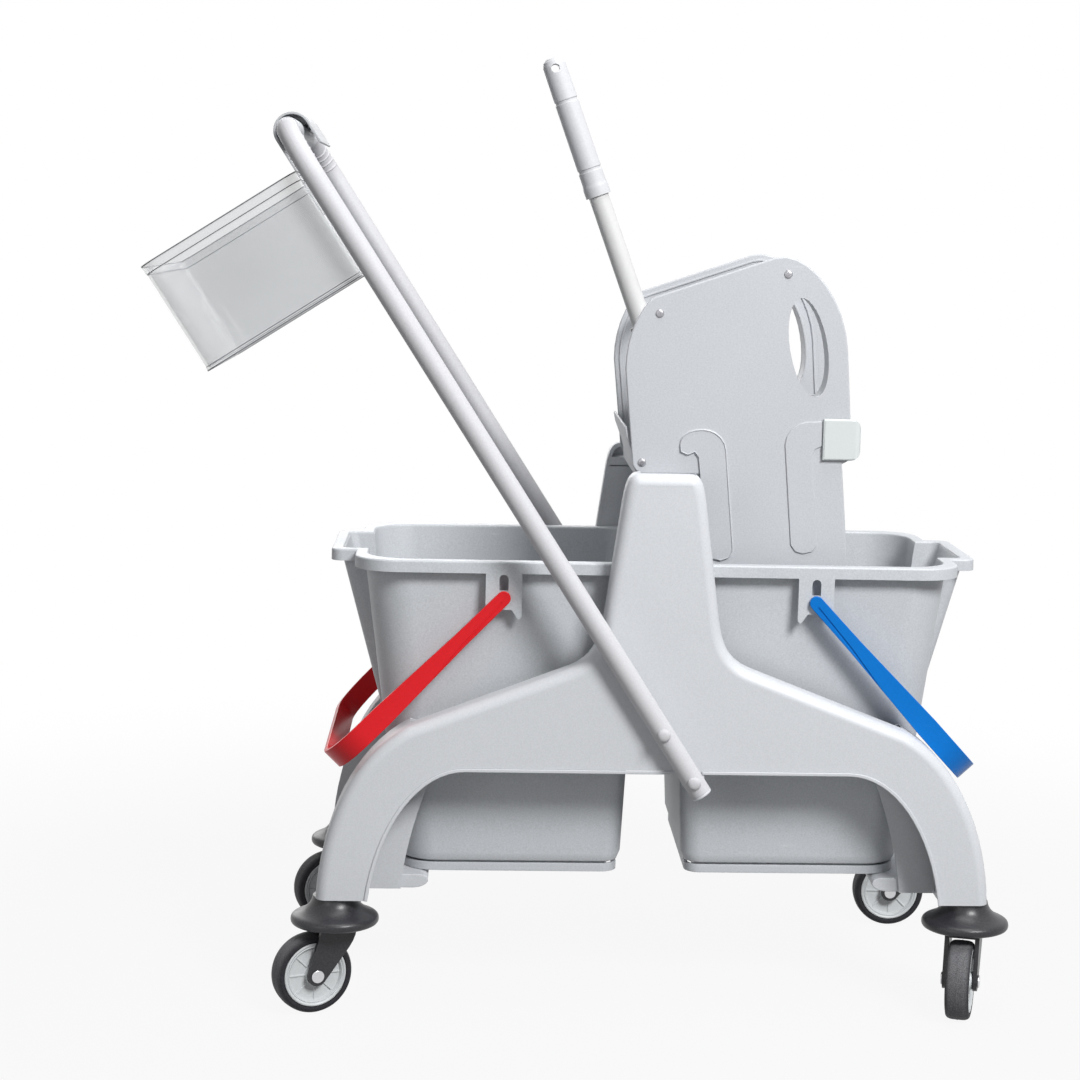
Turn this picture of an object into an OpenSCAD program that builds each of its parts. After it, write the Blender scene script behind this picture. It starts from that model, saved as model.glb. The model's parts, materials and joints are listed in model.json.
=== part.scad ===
// Double mop bucket trolley with a lever wringer, all sizes in millimetres.
// +X points to the wringer end, +Y away from the near side, +Z up, the floor is Z = 0.

/* [Chassis] */
// Half the distance between the caster axes along the trolley
caster_x = 318.5; // [290:0.5:350]
// Half the distance between the caster axes across the trolley
caster_y = 156; // [148:0.5:164]
// Outer face of each moulded side frame, measured from the middle
frame_y = 181; // [178:0.5:190]
// Depth of the hollow arm of a side frame
arm_depth = 28.5; // [24:0.5:29]
// Inner face of the leg cheek, measured from the middle
cheek_y = 131; // [129:0.5:136]
// Wall thickness of the moulded frame
frame_wall = 4; // [3:0.5:5]
// Height of the leg bottoms
leg_z = 117; // [110:0.5:124]
// Outer edge of a leg at its bottom
leg_out_x = 337; // [330:0.5:345]
// Inner edge of a leg at its bottom
leg_in_x = 289; // [282:0.5:294]
// Height of the arch between the legs
arch_z = 252; // [240:1:260]
// Half length of the straight part of the arch
arch_x = 191; // [170:1:200]
// Height where the leg curve meets the sloping arm
shoulder_z = 292; // [285:1:300]
// Half distance between those two shoulders
shoulder_x = 247; // [235:1:255]
// Height where the sloping arm meets the tower
root_z = 352; // [345:1:360]
// Half distance between the feet of the tower fillets
root_x = 90; // [80:1:100]
// Height of the tower top
tower_z = 547; // [530:1:560]
// Half width of the tower below its rounded top
tower_half = 44; // [40:0.5:48]
// Height of the rail that carries the bucket bottoms
deck_z = 131; // [126:0.5:136]
// Inner edge of the deck rail
deck_x = 226; // [215:1:232]

/* [Casters] */
// Wheel radius
wheel_r = 40; // [36:0.5:42]
// Tyre width
wheel_w = 24; // [20:0.5:26]
// Distance from the swivel axis to the wheel axle
trail = 24; // [18:0.5:28]
// Axle radius
axle_r = 4; // [3:0.25:5]
// Depth of the dish in each side of a hub
hub_dish = 4; // [2.5:0.25:6]
// Height of the hub spokes
hub_rib = 1.6; // [1:0.1:2]
// Swivel stem radius
stem_r = 6; // [5:0.25:7]
// Radius of the saucer bumper
bumper_r = 44; // [40:0.5:48]
// Height of the saucer edge
bumper_z = 93; // [91:0.5:96]
// Heading of the near left caster in degrees
turn_nl = 204; // [0:1:359]
// Heading of the near right caster in degrees
turn_nr = 253; // [0:1:359]
// Heading of the far left caster in degrees
turn_fl = 200; // [0:1:359]
// Heading of the far right caster in degrees
turn_fr = 180; // [0:1:359]

/* [Push handle] */
// Lean of the push handle from the vertical
handle_lean = 33; // [28:0.5:36]
// Radius of the handle tube
handle_r = 10.5; // [9:0.25:12]
// Wall of the handle tube
handle_wall = 1.5; // [1:0.25:2]
// Distance along the tube from the upper bolt to the cross bar
handle_len = 692; // [660:1:720]
// Distance along the tube from the upper bolt to the lower end
handle_tail = 71; // [66:1:80]
// Distance between the two bolts
bolt_gap = 57; // [50:1:62]
// Place of the upper bolt along the trolley
bolt_x = 3; // [-5:0.5:10]
// Height of the upper bolt
bolt_z = 292; // [285:1:300]
// Bend radius of the tube
bend_r = 55; // [45:1:60]
// Bolt shank radius
bolt_r = 3; // [2.5:0.25:4]
// Thickness of the sleeve on the cross bar
cover_t = 0.9; // [0.6:0.1:1]

/* [Storage box] */
// Length of the box along the handle tubes
box_len = 118; // [100:1:130]
// Depth of the box outward from the tubes
box_deep = 175; // [150:1:190]
// Half width of the box
box_half = 174; // [160:0.5:176]
// Wall of the box
box_wall = 2.5; // [2:0.25:4]
// Distance from the cross bar down to the box rim
box_hang = 40; // [36:1:52]
// Gap from the tube axis to the box wall
box_gap = 14; // [13.5:0.25:18]
// Height of the thickened rim band
box_rim = 9; // [6:0.5:12]
// How far the rim band stands out
box_lip = 1; // [0.8:0.1:1.5]
// Corner radius of the box
box_corner = 18; // [12:0.5:24]
// Half width of the hanger that carries the box
hanger_half = 78; // [60:1:100]
// Thickness of the hanger
hanger_t = 2.4; // [1.6:0.1:3]
// How far the hanger reaches down in front of the cross bar
hanger_front = 24; // [10:1:30]
// How far the hanger reaches down inside the box
hanger_back = 46; // [30:1:60]

/* [Buckets] */
// Top of the bucket rim
rim_z = 454; // [440:1:465]
// Height of the rim skirt
rim_h = 12; // [9:0.5:15]
// Half width of the rim
rim_half = 150.5; // [145:0.5:151]
// Inner end of the rim
rim_in_x = 5.5; // [3:0.5:10]
// Outer end of the wide part of the rim
rim_out_x = 305; // [295:1:310]
// Tip of the pouring lip
lip_x = 331; // [322:1:336]
// Half width of the pouring lip
lip_half = 76; // [65:1:85]
// Wall thickness of a bucket
bucket_wall = 3; // [2.5:0.25:4]
// How far the rim stands out over the bucket wall
rim_over = 11.5; // [9:0.5:14]
// Half width of the bucket wall at the bottom
foot_half = 120; // [112:0.5:124]
// Height of the ring foot
foot_h = 8; // [5:0.5:12]
// Radius of the edge round the bucket bottom
sole_r = 12; // [8:0.5:14]
// Place of the bail pivots along the bucket
pivot_x = 156; // [145:1:165]
// Height of the bail pivots
pivot_z = 418; // [412:0.5:420]
// Radius of a bail pin
pin_r = 4; // [3:0.25:5]
// Reach of a bail from its pivot
bail_len = 243; // [235:1:250]
// Thickness of the bail strap
bail_t = 4.5; // [3:0.25:5]
// Angle of the red bail below the level
drop_red = 45.5; // [40:0.5:46.5]
// Angle of the blue bail below the level
drop_blue = 47; // [40:0.5:47]

/* [Wringer] */
// Outer face of the wringer side plates, measured from the middle
plate_y = 105; // [100:0.5:115]
// Thickness of a side plate
plate_t = 5; // [4:0.25:6]
// Height of the plate edge over the tower
plate_z = 540; // [536:0.5:541]
// Distance from that edge down to the shelf in the tower
foot_drop = 9; // [7:0.5:12]
// Lowest edge of the plates inside the bucket
plate_low = 400; // [390:1:415]
// Height of the raised ribs on the plates
rib_t = 1.6; // [1:0.1:2.5]
// Place of the lever shaft along the trolley
shaft_x = 7.5; // [4:0.5:7.5]
// Height of the lever shaft
shaft_z = 625; // [615:1:632]
// Radius of the lever shaft
shaft_r = 7; // [5.5:0.25:8]
// Lean of the lever at rest
lever_lean = 20.4; // [20:0.1:24]
// Radius of the lever tube
lever_r = 10.5; // [9.5:0.25:10.5]
// Distance from the shaft to the lever top
lever_len = 353; // [330:1:370]
// Length of the hand grip
grip_len = 148; // [120:1:160]
// Radius of the hand grip
grip_r = 12.6; // [12:0.1:14]
// Radius of the hanging hole in the grip
hang_r = 4.5; // [3:0.25:5.5]
// Place of the jaw hinge along the trolley
jaw_x = 60; // [58:0.5:62]
// Height of the jaw hinge
jaw_z = 440; // [435:1:445]
// Lean of the moving jaw at rest
jaw_lean = 5.5; // [3:0.25:5.5]
// Height of the moving jaw
jaw_h = 215; // [200:1:225]
// Radius of the jaw hinge pin
jaw_pin_r = 5; // [4:0.25:6]
// Distance from the shaft to the roller that pushes the jaw
push_len = 75; // [70:0.5:76]
// Radius of the roller
roller_r = 10; // [8:0.25:10.5]
// Place of the foot of the fixed jaw along the trolley
fixed_x = 108; // [104:0.5:112]
// Height of the foot of the fixed jaw
fixed_z = 425; // [420:1:430]
// Lean of the fixed jaw
fixed_lean = 12.9; // [10:0.1:14]
// Height of the fixed jaw along its lean
fixed_h = 188; // [170:1:195]
// Height of the sieve floor
sieve_z = 414; // [408:1:418]
// Radius of the tie bars
tie_r = 4; // [3.5:0.1:4]

/* [Clearances] */
// Running clearance round every turning shaft
run_gap = 0.06; // [0.02:0.01:0.1]
// Side clearance between parts that move past each other
side_gap = 0.5; // [0.4:0.05:1]

/* [Part selection] */
// Which part to draw

/* [Hidden] */
$fn = 48;

grey = [0.78, 0.79, 0.81];
dark = [0.27, 0.27, 0.29];
tyre_dark = [0.2, 0.2, 0.22];
steel = [0.75, 0.75, 0.76];
paint = [0.86, 0.86, 0.88];
red = [0.94, 0.2, 0.15];
blue = [0.02, 0.45, 0.82];

// Handle directions, along the tube and square to it
tube_dir = [-sin(handle_lean), 0, cos(handle_lean)];
out_dir = [-cos(handle_lean), 0, -sin(handle_lean)];
tube_y = frame_y + handle_r;
box_top = handle_len - box_hang;

// Middle of the ground area, so that the origin lies under the middle of the trolley
box_tip_x = bolt_x + box_top * tube_dir[0] + (box_gap + box_deep + box_lip) * out_dir[0];
box_plan = [-box_gap - box_deep, -box_gap, box_half, box_corner, box_corner];
low_x = box_tip_x;
high_x = caster_x + bumper_r;
wheel_reach = (wheel_r - 0.4) * abs(sin(turn_nr)) + (wheel_w / 2 - 5) * abs(cos(turn_nr));
low_y = -caster_y + trail * sin(turn_nr) - wheel_reach;
high_y = tube_y + handle_r + 4;
origin = [-(low_x + high_x) / 2, -(low_y + high_y) / 2, 0];

// Side frame outline
function bez(a, b, c, d, n) = [
    for (i = [1:n])
        let (t = i / n, s = 1 - t)
        s * s * s * a + 3 * s * s * t * b + 3 * s * t * t * c + t * t * t * d
];
function unit2(v) = v / norm(v);
function inset(p, d) = [
    for (i = [0:len(p) - 1])
        let (
            n = len(p),
            e = unit2(p[i] - p[(i + n - 1) % n]),
            f = unit2(p[(i + 1) % n] - p[i]),
            u = [-e[1], e[0]],
            v = [-f[1], f[0]]
        )
        p[i] + d * (u + v) / (1 + u * v)
];
function flip(p) = [for (i = [len(p) - 1:-1:0]) [-p[i][0], p[i][1]]];

curve_n = 16;
arch_a = [arch_x, arch_z];
arch_b = [leg_in_x, leg_z];
arch_curve = bez(arch_a, arch_a + [47, 0], arch_b + [-10, 79], arch_b, curve_n);
leg_a = [leg_out_x, leg_z];
leg_b = [shoulder_x, shoulder_z];
leg_curve = bez(leg_a, leg_a + [-3, 73], leg_b + [56, -30], leg_b, curve_n);
neck_a = [root_x, root_z];
neck_b = [tower_half + 12, root_z + 58];
neck_curve = bez(neck_a, neck_a + [-28, 11], neck_b + [3, -22], neck_b, 10);
top_a = [tower_half, tower_z - 50];
top_b = [tower_half - 20, tower_z];
top_curve = bez(top_a, top_a + [-5, 38], top_b + [14, 0], top_b, 9);
half_frame = concat(
    [arch_a], arch_curve, [leg_a], leg_curve, [neck_a], neck_curve, [top_a], top_curve
);
frame_outline = concat(half_frame, flip(half_frame));

cheek_z = leg_z;
cheek_a = [leg_in_x - 35, cheek_z];
cheek_b = [shoulder_x - 42, shoulder_z - 12];
cheek_curve = bez(cheek_b, cheek_b + [27, -58], cheek_a + [-4, 50], cheek_a, 12);
cheek_outline = concat([leg_a], leg_curve, [cheek_b], cheek_curve);
leg_strip_in = [for (p = inset(concat([leg_a], leg_curve, [[leg_in_x - 60, leg_z]]), frame_wall)) p];
leg_strip = concat([leg_a], leg_curve, [for (i = [curve_n:-1:0]) leg_strip_in[i]]);

// Bucket outlines, drawn for the wringer end
wall_half = rim_half - rim_over;
main_top = [18, rim_out_x - 9, wall_half, 22, 46];
main_low = [31, 258, foot_half, 20, 38];
bay_top = [230, lip_x - 9, lip_half - 10, 4, 12];
bay_low = [230, 278, lip_half - 18, 4, 12];
bucket_floor = deck_z + foot_h;
bay_z = bucket_floor + 146;

function corner(cx, cy, r, a) = [for (i = [0:6]) [cx + r * cos(a + 15 * i), cy + r * sin(a + 15 * i)]];
// Plan outline from x0 to x1, half width h, corner radii r0 at x0 and r1 at x1
function plan(v, d = 0) =
    let (x0 = v[0] + d, x1 = v[1] - d, h = v[2] - d, r0 = max(v[3] - d, 1), r1 = max(v[4] - d, 1))
    concat(
        corner(x1 - r1, h - r1, r1, 0), corner(x0 + r0, h - r0, r0, 90),
        corner(x0 + r0, -h + r0, r0, 180), corner(x1 - r1, -h + r1, r1, 270)
    );

// Wringer plate outline
plate_a = [-38, 644];
plate_b = [-11, 717];
plate_c = [109, 759];
plate_d = [186, 669];
plate_outline = concat(
    [[-20, plate_z], [-25, plate_z + 2.5], [-28.5, plate_z + 8], plate_a],
    bez(plate_a, plate_a + [-1, 32], plate_b + [-14, -10], plate_b, 7),
    [plate_c],
    bez(plate_c, plate_c + [32, 11], plate_d + [-4, 52], plate_d, 9),
    [
        [191, 600], [191, 557], [184, 553], [193, 452], [195, plate_low + 10], [190, plate_low],
        [62, plate_low], [56, plate_low + 8], [47, plate_z - 6], [42, plate_z]
    ]
);
hole_mid = [146, 670];
hole_outline = [
    for (i = [0:31])
        let (a = i * 11.25, u = 19 * cos(a), v = 50.5 * sin(a))
        hole_mid + [u * cos(11) - v * sin(11), u * sin(11) + v * cos(11)]
];
tie_places = [[-5, 701], [123, 743], [-19, 551]];
clip_low = 557;
clip_high = 599;
clip_in = 163;
clip_out = 202;

module place() {
    translate(origin) children();
}

// A flat outline in X and Z, drawn between two distances along Y
module prism(p, y0, y1) {
    translate([0, y1, 0]) rotate([90, 0, 0]) linear_extrude(y1 - y0) polygon(p);
}

// A round bar along Y
module bar(x, z, r, y0, y1) {
    translate([x, y1, z]) rotate([90, 0, 0]) cylinder(r = r, h = y1 - y0);
}

module on_handle() {
    translate([bolt_x, 0, bolt_z]) rotate([0, -handle_lean, 0]) children();
}

module on_lever() {
    translate([shaft_x, 0, shaft_z]) rotate([0, -lever_lean, 0]) children();
}

module on_jaw() {
    translate([jaw_x, 0, jaw_z]) rotate([0, -jaw_lean, 0]) children();
}

// Bolt place in X and Z at a distance down the tube from the upper bolt
function bolt_at(d) = [bolt_x - d * tube_dir[0], bolt_z - d * tube_dir[2]];

module caster_foot(x) {
    translate([x, -caster_y, leg_z]) cylinder(r = stem_r + 9, h = 60);
    translate([x > 0 ? leg_in_x : -leg_out_x, -frame_y, leg_z])
        cube([leg_out_x - leg_in_x, frame_y - cheek_y, frame_wall]);
}

module stem_hole(x) {
    translate([x, -caster_y, leg_z - 5]) cylinder(r = stem_r + run_gap, h = 56);
}

module leg_wall(s) {
    p = s > 0 ? leg_strip : flip(leg_strip);
    c = s > 0 ? cheek_outline : flip(cheek_outline);
    prism(p, -frame_y + 1, -cheek_y);
    prism(c, -cheek_y - frame_wall, -cheek_y);
}

// One side frame: a hollow moulding, open to the inside, with a tower and two legs
module side_frame() {
    p2 = bolt_at(bolt_gap);
    skin = -frame_y + frame_wall;
    difference() {
        union() {
            difference() {
                prism(frame_outline, -frame_y, -frame_y + arm_depth);
                prism(inset(frame_outline, frame_wall), skin, -frame_y + arm_depth + 1);
            }
            leg_wall(1);
            leg_wall(-1);
            caster_foot(caster_x);
            caster_foot(-caster_x);
            bar(p2[0], p2[1], bolt_r + 9, -frame_y, -frame_y + 8);
            // Shelf inside the tower top that carries the wringer
            translate([-tower_half + 8, -frame_y + 2, plate_z - foot_drop - 9])
                cube([2 * tower_half - 16, arm_depth - 2, 9]);
        }
        stem_hole(caster_x);
        stem_hole(-caster_x);
        bar(bolt_x, bolt_z, bolt_r, -frame_y - 1, skin + 5);
        bar(p2[0], p2[1], bolt_r, -frame_y - 1, -frame_y + 9);
        // Open top behind the lip, and the pocket for the wringer foot
        translate([-24, -frame_y + 9, plate_z - foot_drop]) cube([54, arm_depth, foot_drop + 20]);
        translate([-11, -frame_y + 11, plate_z - foot_drop - 20]) cube([36, 11, 30]);
    }
}

module side_frame_near() {
    color(grey) side_frame();
}

module side_frame_far() {
    color(grey) mirror([0, 1, 0]) side_frame();
}

// Wall between the buckets; its cap carries the inner ends of both rims
module centre_wall() {
    inner = frame_y - frame_wall;
    cap = rim_z - rim_h;
    color(grey) union() {
        translate([-4, -inner, arch_z + frame_wall]) cube([8, 2 * inner, cap - arch_z - frame_wall - 2]);
        translate([-14, -rim_half + 8, cap - 4]) cube([28, 2 * rim_half - 16, 4]);
    }
}

// Rail between the legs that carries the outer end of a bucket
module deck_rail() {
    low = leg_z;
    x1 = leg_in_x - 4;
    a = [deck_x + 10, deck_z];
    b = [deck_x + 15, low];
    p = concat([[x1, low], [x1, deck_z], a], bez(a, a + [-14, 0], b + [-18, 1], b, 9));
    prism(p, -cheek_y, cheek_y);
}

module deck_rail_red() {
    color(grey) mirror([1, 0, 0]) deck_rail();
}

module deck_rail_blue() {
    color(grey) deck_rail();
}

// Four saucer shaped bumpers under the legs
module bumper_disc() {
    neck = [22, leg_z];
    crown = [bumper_r - 6, bumper_z + 6];
    edge = [bumper_r, bumper_z - 0.5];
    under = [bumper_r - 5, bumper_z - 5];
    rotate_extrude() polygon(concat(
        [[stem_r + 0.1, leg_z], neck], bez(neck, neck + [1, -10], crown + [-7, 3], crown, 8),
        bez(crown, crown + [4, -1.6], edge + [0, 4], edge, 5),
        bez(edge, edge + [0, -3], under + [3, 0], under, 4),
        [[bumper_r - 8, bumper_z + 1], [22, bumper_z + 2], [stem_r + 0.1, bumper_z + 2]]
    ));
}

module bumper_discs() {
    color(dark) for (x = [-caster_x, caster_x], y = [-caster_y, caster_y])
        translate([x, y, 0]) bumper_disc();
}

// Caster parts, drawn with the swivel axis on Z and the wheel trailing along +X
module on_caster(x, y, turn) {
    translate([x, y, 0]) rotate([0, 0, turn]) children();
}

module fork() {
    in_y = wheel_w / 2 + 1;
    out_y = in_y + 4.5;
    top = bumper_z - 4;
    tip = [for (i = [0:10]) let (a = 25 - 16.63 * i) [trail + 10 * cos(a), wheel_r + 10 * sin(a)]];
    heel = bez([2, wheel_r + 12], [-10, wheel_r + 27], [-16, wheel_r + 33], [-17, top - 4], 5);
    p = concat([[-17, top], [19, top]], tip, [[2, wheel_r + 12]], heel);
    difference() {
        union() {
            prism(p, in_y, out_y);
            prism(p, -out_y, -in_y);
            translate([-17, -out_y, wheel_r * 2 + 1]) cube([36, 2 * out_y, top - wheel_r * 2 - 1]);
            translate([0, 0, top - 1]) cylinder(r = stem_r + 5, h = bumper_z + 1.7 - top + 1);
        }
        translate([0, 0, wheel_r * 2]) cylinder(r = stem_r, h = 30);
        bar(trail, wheel_r, axle_r, -out_y - 1, out_y + 1);
    }
}

module stem() {
    translate([0, 0, wheel_r * 2 + 1]) cylinder(r = stem_r, h = leg_z + 46 - wheel_r * 2);
}

module axle() {
    out_y = wheel_w / 2 + 5.5;
    union() {
        bar(trail, wheel_r, axle_r, -out_y - 1, out_y + 1);
        bar(trail, wheel_r, axle_r + 2.5, out_y, out_y + 2);
        bar(trail, wheel_r, axle_r + 2.5, -out_y - 2, -out_y);
    }
}

// Wheel hub: a rim, a shallow dish on each side and eight low spokes in it
module hub() {
    half = wheel_w / 2;
    rim_r = wheel_r - 9;
    dish = half - hub_dish;
    translate([trail, 0, wheel_r]) rotate([90, 0, 0]) difference() {
        union() {
            rotate_extrude() polygon([
                [0, -dish], [rim_r - 5, -dish], [rim_r - 3, -half + 1], [rim_r, -half + 1],
                [rim_r, half - 1], [rim_r - 3, half - 1], [rim_r - 5, dish], [0, dish]
            ]);
            translate([0, 0, -half - 0.5]) cylinder(r = axle_r + 5, h = 2 * half + 1);
            for (a = [0:45:315])
                rotate([0, 0, a]) translate([axle_r + 2, -1.2, -dish - hub_rib])
                    cube([rim_r - axle_r - 5.5, 2.4, 2 * (dish + hub_rib)]);
        }
        translate([0, 0, -half - 1]) cylinder(r = axle_r + run_gap, h = 2 * half + 2);
    }
}

module tyre() {
    half = wheel_w / 2;
    rim_r = wheel_r - 9;
    translate([trail, 0, wheel_r]) rotate([90, 0, 0]) rotate_extrude($fn = 64) polygon([
        [rim_r, -half + 1], [wheel_r - 5, -half], [wheel_r - 2, -half + 2],
        [wheel_r - 0.4, -half + 5], [wheel_r, 0], [wheel_r - 0.4, half - 5],
        [wheel_r - 2, half - 2], [wheel_r - 5, half], [rim_r, half - 1]
    ]);
}

module fork_nl() { color(dark) on_caster(-caster_x, -caster_y, turn_nl) fork(); }
module stem_nl() { color(steel) on_caster(-caster_x, -caster_y, turn_nl) stem(); }
module axle_nl() { color(steel) on_caster(-caster_x, -caster_y, turn_nl) axle(); }
module hub_nl() { color(grey) on_caster(-caster_x, -caster_y, turn_nl) hub(); }
module tyre_nl() { color(tyre_dark) on_caster(-caster_x, -caster_y, turn_nl) tyre(); }
module fork_nr() { color(dark) on_caster(caster_x, -caster_y, turn_nr) fork(); }
module stem_nr() { color(steel) on_caster(caster_x, -caster_y, turn_nr) stem(); }
module axle_nr() { color(steel) on_caster(caster_x, -caster_y, turn_nr) axle(); }
module hub_nr() { color(grey) on_caster(caster_x, -caster_y, turn_nr) hub(); }
module tyre_nr() { color(tyre_dark) on_caster(caster_x, -caster_y, turn_nr) tyre(); }
module fork_fl() { color(dark) on_caster(-caster_x, caster_y, turn_fl) fork(); }
module stem_fl() { color(steel) on_caster(-caster_x, caster_y, turn_fl) stem(); }
module axle_fl() { color(steel) on_caster(-caster_x, caster_y, turn_fl) axle(); }
module hub_fl() { color(grey) on_caster(-caster_x, caster_y, turn_fl) hub(); }
module tyre_fl() { color(tyre_dark) on_caster(-caster_x, caster_y, turn_fl) tyre(); }
module fork_fr() { color(dark) on_caster(caster_x, caster_y, turn_fr) fork(); }
module stem_fr() { color(steel) on_caster(caster_x, caster_y, turn_fr) stem(); }
module axle_fr() { color(steel) on_caster(caster_x, caster_y, turn_fr) axle(); }
module hub_fr() { color(grey) on_caster(caster_x, caster_y, turn_fr) hub(); }
module tyre_fr() { color(tyre_dark) on_caster(caster_x, caster_y, turn_fr) tyre(); }

// Bent tube of the push handle, drawn with its straight runs along Z
module bent_tube(r, tail) {
    straight = handle_len - bend_r;
    for (s = [-1, 1]) {
        translate([0, s * tube_y, -tail]) cylinder(r = r, h = tail + straight);
        translate([0, s * (tube_y - bend_r), straight]) rotate([90, 0, s > 0 ? 90 : -90])
            rotate_extrude(angle = 90) translate([bend_r, 0]) circle(r = r);
    }
    translate([0, tube_y - bend_r, handle_len]) rotate([90, 0, 0])
        cylinder(r = r, h = 2 * (tube_y - bend_r));
}

module push_handle() {
    color(paint) on_handle() difference() {
        bent_tube(handle_r, handle_tail);
        bent_tube(handle_r - handle_wall, handle_tail + 1);
        for (s = [-1, 1], z = [0, -bolt_gap])
            translate([0, s * tube_y, z]) rotate([90, 0, 0])
                cylinder(r = bolt_r, h = 4 * handle_r, center = true);
    }
}

// Dome headed bolts that hold the tube to the side frames
module handle_bolt() {
    rotate([90, 0, 0]) rotate_extrude() polygon([
        [0, 0.1 - handle_r - frame_wall], [bolt_r, 0.1 - handle_r - frame_wall], [bolt_r, handle_r],
        [6.8, handle_r],
        [6.6, handle_r + 1.2], [5.4, handle_r + 2.6], [3.2, handle_r + 3.6], [0, handle_r + 4]
    ]);
}

module handle_bolts() {
    color(steel) on_handle() for (z = [0, -bolt_gap]) {
        translate([0, -tube_y, z]) handle_bolt();
        mirror([0, 1, 0]) translate([0, -tube_y, z]) handle_bolt();
    }
}

// Plugs in the open lower ends of the tube
module handle_plugs() {
    color(grey) on_handle() for (s = [-1, 1])
        translate([0, s * tube_y, -handle_tail - 3]) union() {
            cylinder(r = handle_r, h = 3);
            translate([0, 0, 2]) cylinder(r = handle_r - handle_wall, h = 7);
        }
}

// Thin sleeve on the straight cross bar
module handle_grip() {
    half = tube_y - bend_r;
    color(grey) on_handle() difference() {
        translate([0, half, handle_len]) rotate([90, 0, 0]) cylinder(r = handle_r + cover_t, h = 2 * half);
        translate([0, half + 1, handle_len]) rotate([90, 0, 0])
            cylinder(r = handle_r + run_gap, h = 2 * half + 2);
    }
}

// Open storage box behind the handle tubes, drawn with its length along Z
module box_band(z, h, d) {
    intersection() {
        translate([0, 0, z]) linear_extrude(h) polygon(plan(box_plan, -d));
        translate([-box_gap - 2 * box_deep, -2 * box_half, z - 1]) cube([2 * box_deep, 4 * box_half, h + 2]);
    }
}

module storage_box() {
    low = box_top - box_len;
    color([0.77, 0.79, 0.81, 0.6]) on_handle() difference() {
        union() {
            translate([0, 0, low]) linear_extrude(box_len) polygon(plan(box_plan));
            box_band(box_top - box_rim, box_rim, box_lip);
            box_band(low, 4, 0.8);
        }
        translate([0, 0, low + box_wall]) linear_extrude(box_len) polygon(plan(box_plan, box_wall));
    }
}

// Broad hanger over the cross bar, with three ribs that rest on the sleeve
module box_hooks() {
    in_r = box_gap + box_wall;
    wide = 2 * hanger_half;
    seat = handle_r + cover_t + 0.3;
    color(grey) on_handle() union() {
        translate([0, hanger_half, handle_len]) rotate([90, 0, 0]) rotate_extrude(angle = 180)
            translate([in_r, 0]) square([hanger_t, wide]);
        translate([in_r, -hanger_half, handle_len - hanger_front]) cube([hanger_t, wide, hanger_front]);
        translate([-in_r - hanger_t, -hanger_half, box_top - hanger_back])
            cube([hanger_t, wide, handle_len - box_top + hanger_back]);
        for (y = [-0.75 * hanger_half, 0, 0.75 * hanger_half])
            translate([0, y + 1.5, handle_len]) rotate([90, 0, 0]) rotate_extrude(angle = 180)
                translate([seat, 0]) square([in_r + 0.5 - seat, 3]);
    }
}

// A thin slice of a plan outline, used to draw the tapered bucket walls
module slice(v, z, d) {
    translate([0, 0, z]) linear_extrude(0.5) polygon(plan(v, d));
}

module rim_plan(d) {
    polygon(plan([rim_in_x, rim_out_x, rim_half, 26, 42], d));
    polygon(plan([230, lip_x, lip_half, 4, 12], d));
}

module rim_hole() {
    polygon(plan(main_top, bucket_wall));
    polygon(plan(bay_top, bucket_wall));
}

// Ear for the bail pivot, with its slot and its pointed tail
module bail_ear() {
    top = rim_z - rim_h + 1;
    p = [
        [pivot_x - 18, top], [pivot_x - 18, pivot_z - 19], [pivot_x - 15, pivot_z - 22],
        [pivot_x - 8, pivot_z - 12], [pivot_x + 18, pivot_z - 12], [pivot_x + 18, top]
    ];
    difference() {
        prism(p, -rim_half, -rim_half + 3);
        translate([pivot_x - 4.5, -rim_half - 1, pivot_z + 7]) cube([9, 5, top - pivot_z - 13.5]);
        bar(pivot_x, top - 6.5, 4.5, -rim_half - 1, -rim_half + 4);
        bar(pivot_x, pivot_z, pin_r + run_gap, -rim_half - 1, -rim_half + 4);
    }
}

module bucket() {
    union() {
        difference() {
            union() {
                hull() {
                    slice(main_low, bucket_floor, sole_r);
                    slice(main_low, bucket_floor + 0.3 * sole_r, 0.3 * sole_r);
                    slice(main_low, bucket_floor + sole_r, 0);
                    slice(main_top, rim_z - 3, 0);
                }
                hull() {
                    slice(bay_low, bay_z, 0);
                    slice(bay_top, rim_z - 3, 0);
                }
            }
            hull() {
                slice(main_low, bucket_floor + 3.5, sole_r + 1);
                slice(main_low, bucket_floor + 3.5 + 0.3 * sole_r, bucket_wall + 0.3 * sole_r);
                slice(main_low, bucket_floor + 3.5 + sole_r, bucket_wall);
                slice(main_top, rim_z, bucket_wall);
            }
            hull() {
                slice(bay_low, bay_z + 4, bucket_wall);
                slice(bay_top, rim_z, bucket_wall);
            }
        }
        translate([0, 0, rim_z - 3]) linear_extrude(3) difference() {
            rim_plan(0);
            rim_hole();
        }
        translate([0, 0, rim_z - rim_h]) linear_extrude(rim_h - 2) difference() {
            rim_plan(0);
            rim_plan(3);
        }
        translate([0, 0, deck_z]) linear_extrude(foot_h + 1) difference() {
            polygon(plan(main_low, sole_r + 2));
            polygon(plan(main_low, sole_r + 6));
        }
        bail_ear();
        mirror([0, 1, 0]) bail_ear();
    }
}

module bucket_red() { color(grey) mirror([1, 0, 0]) bucket(); }
module bucket_blue() { color(grey) bucket(); }

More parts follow.
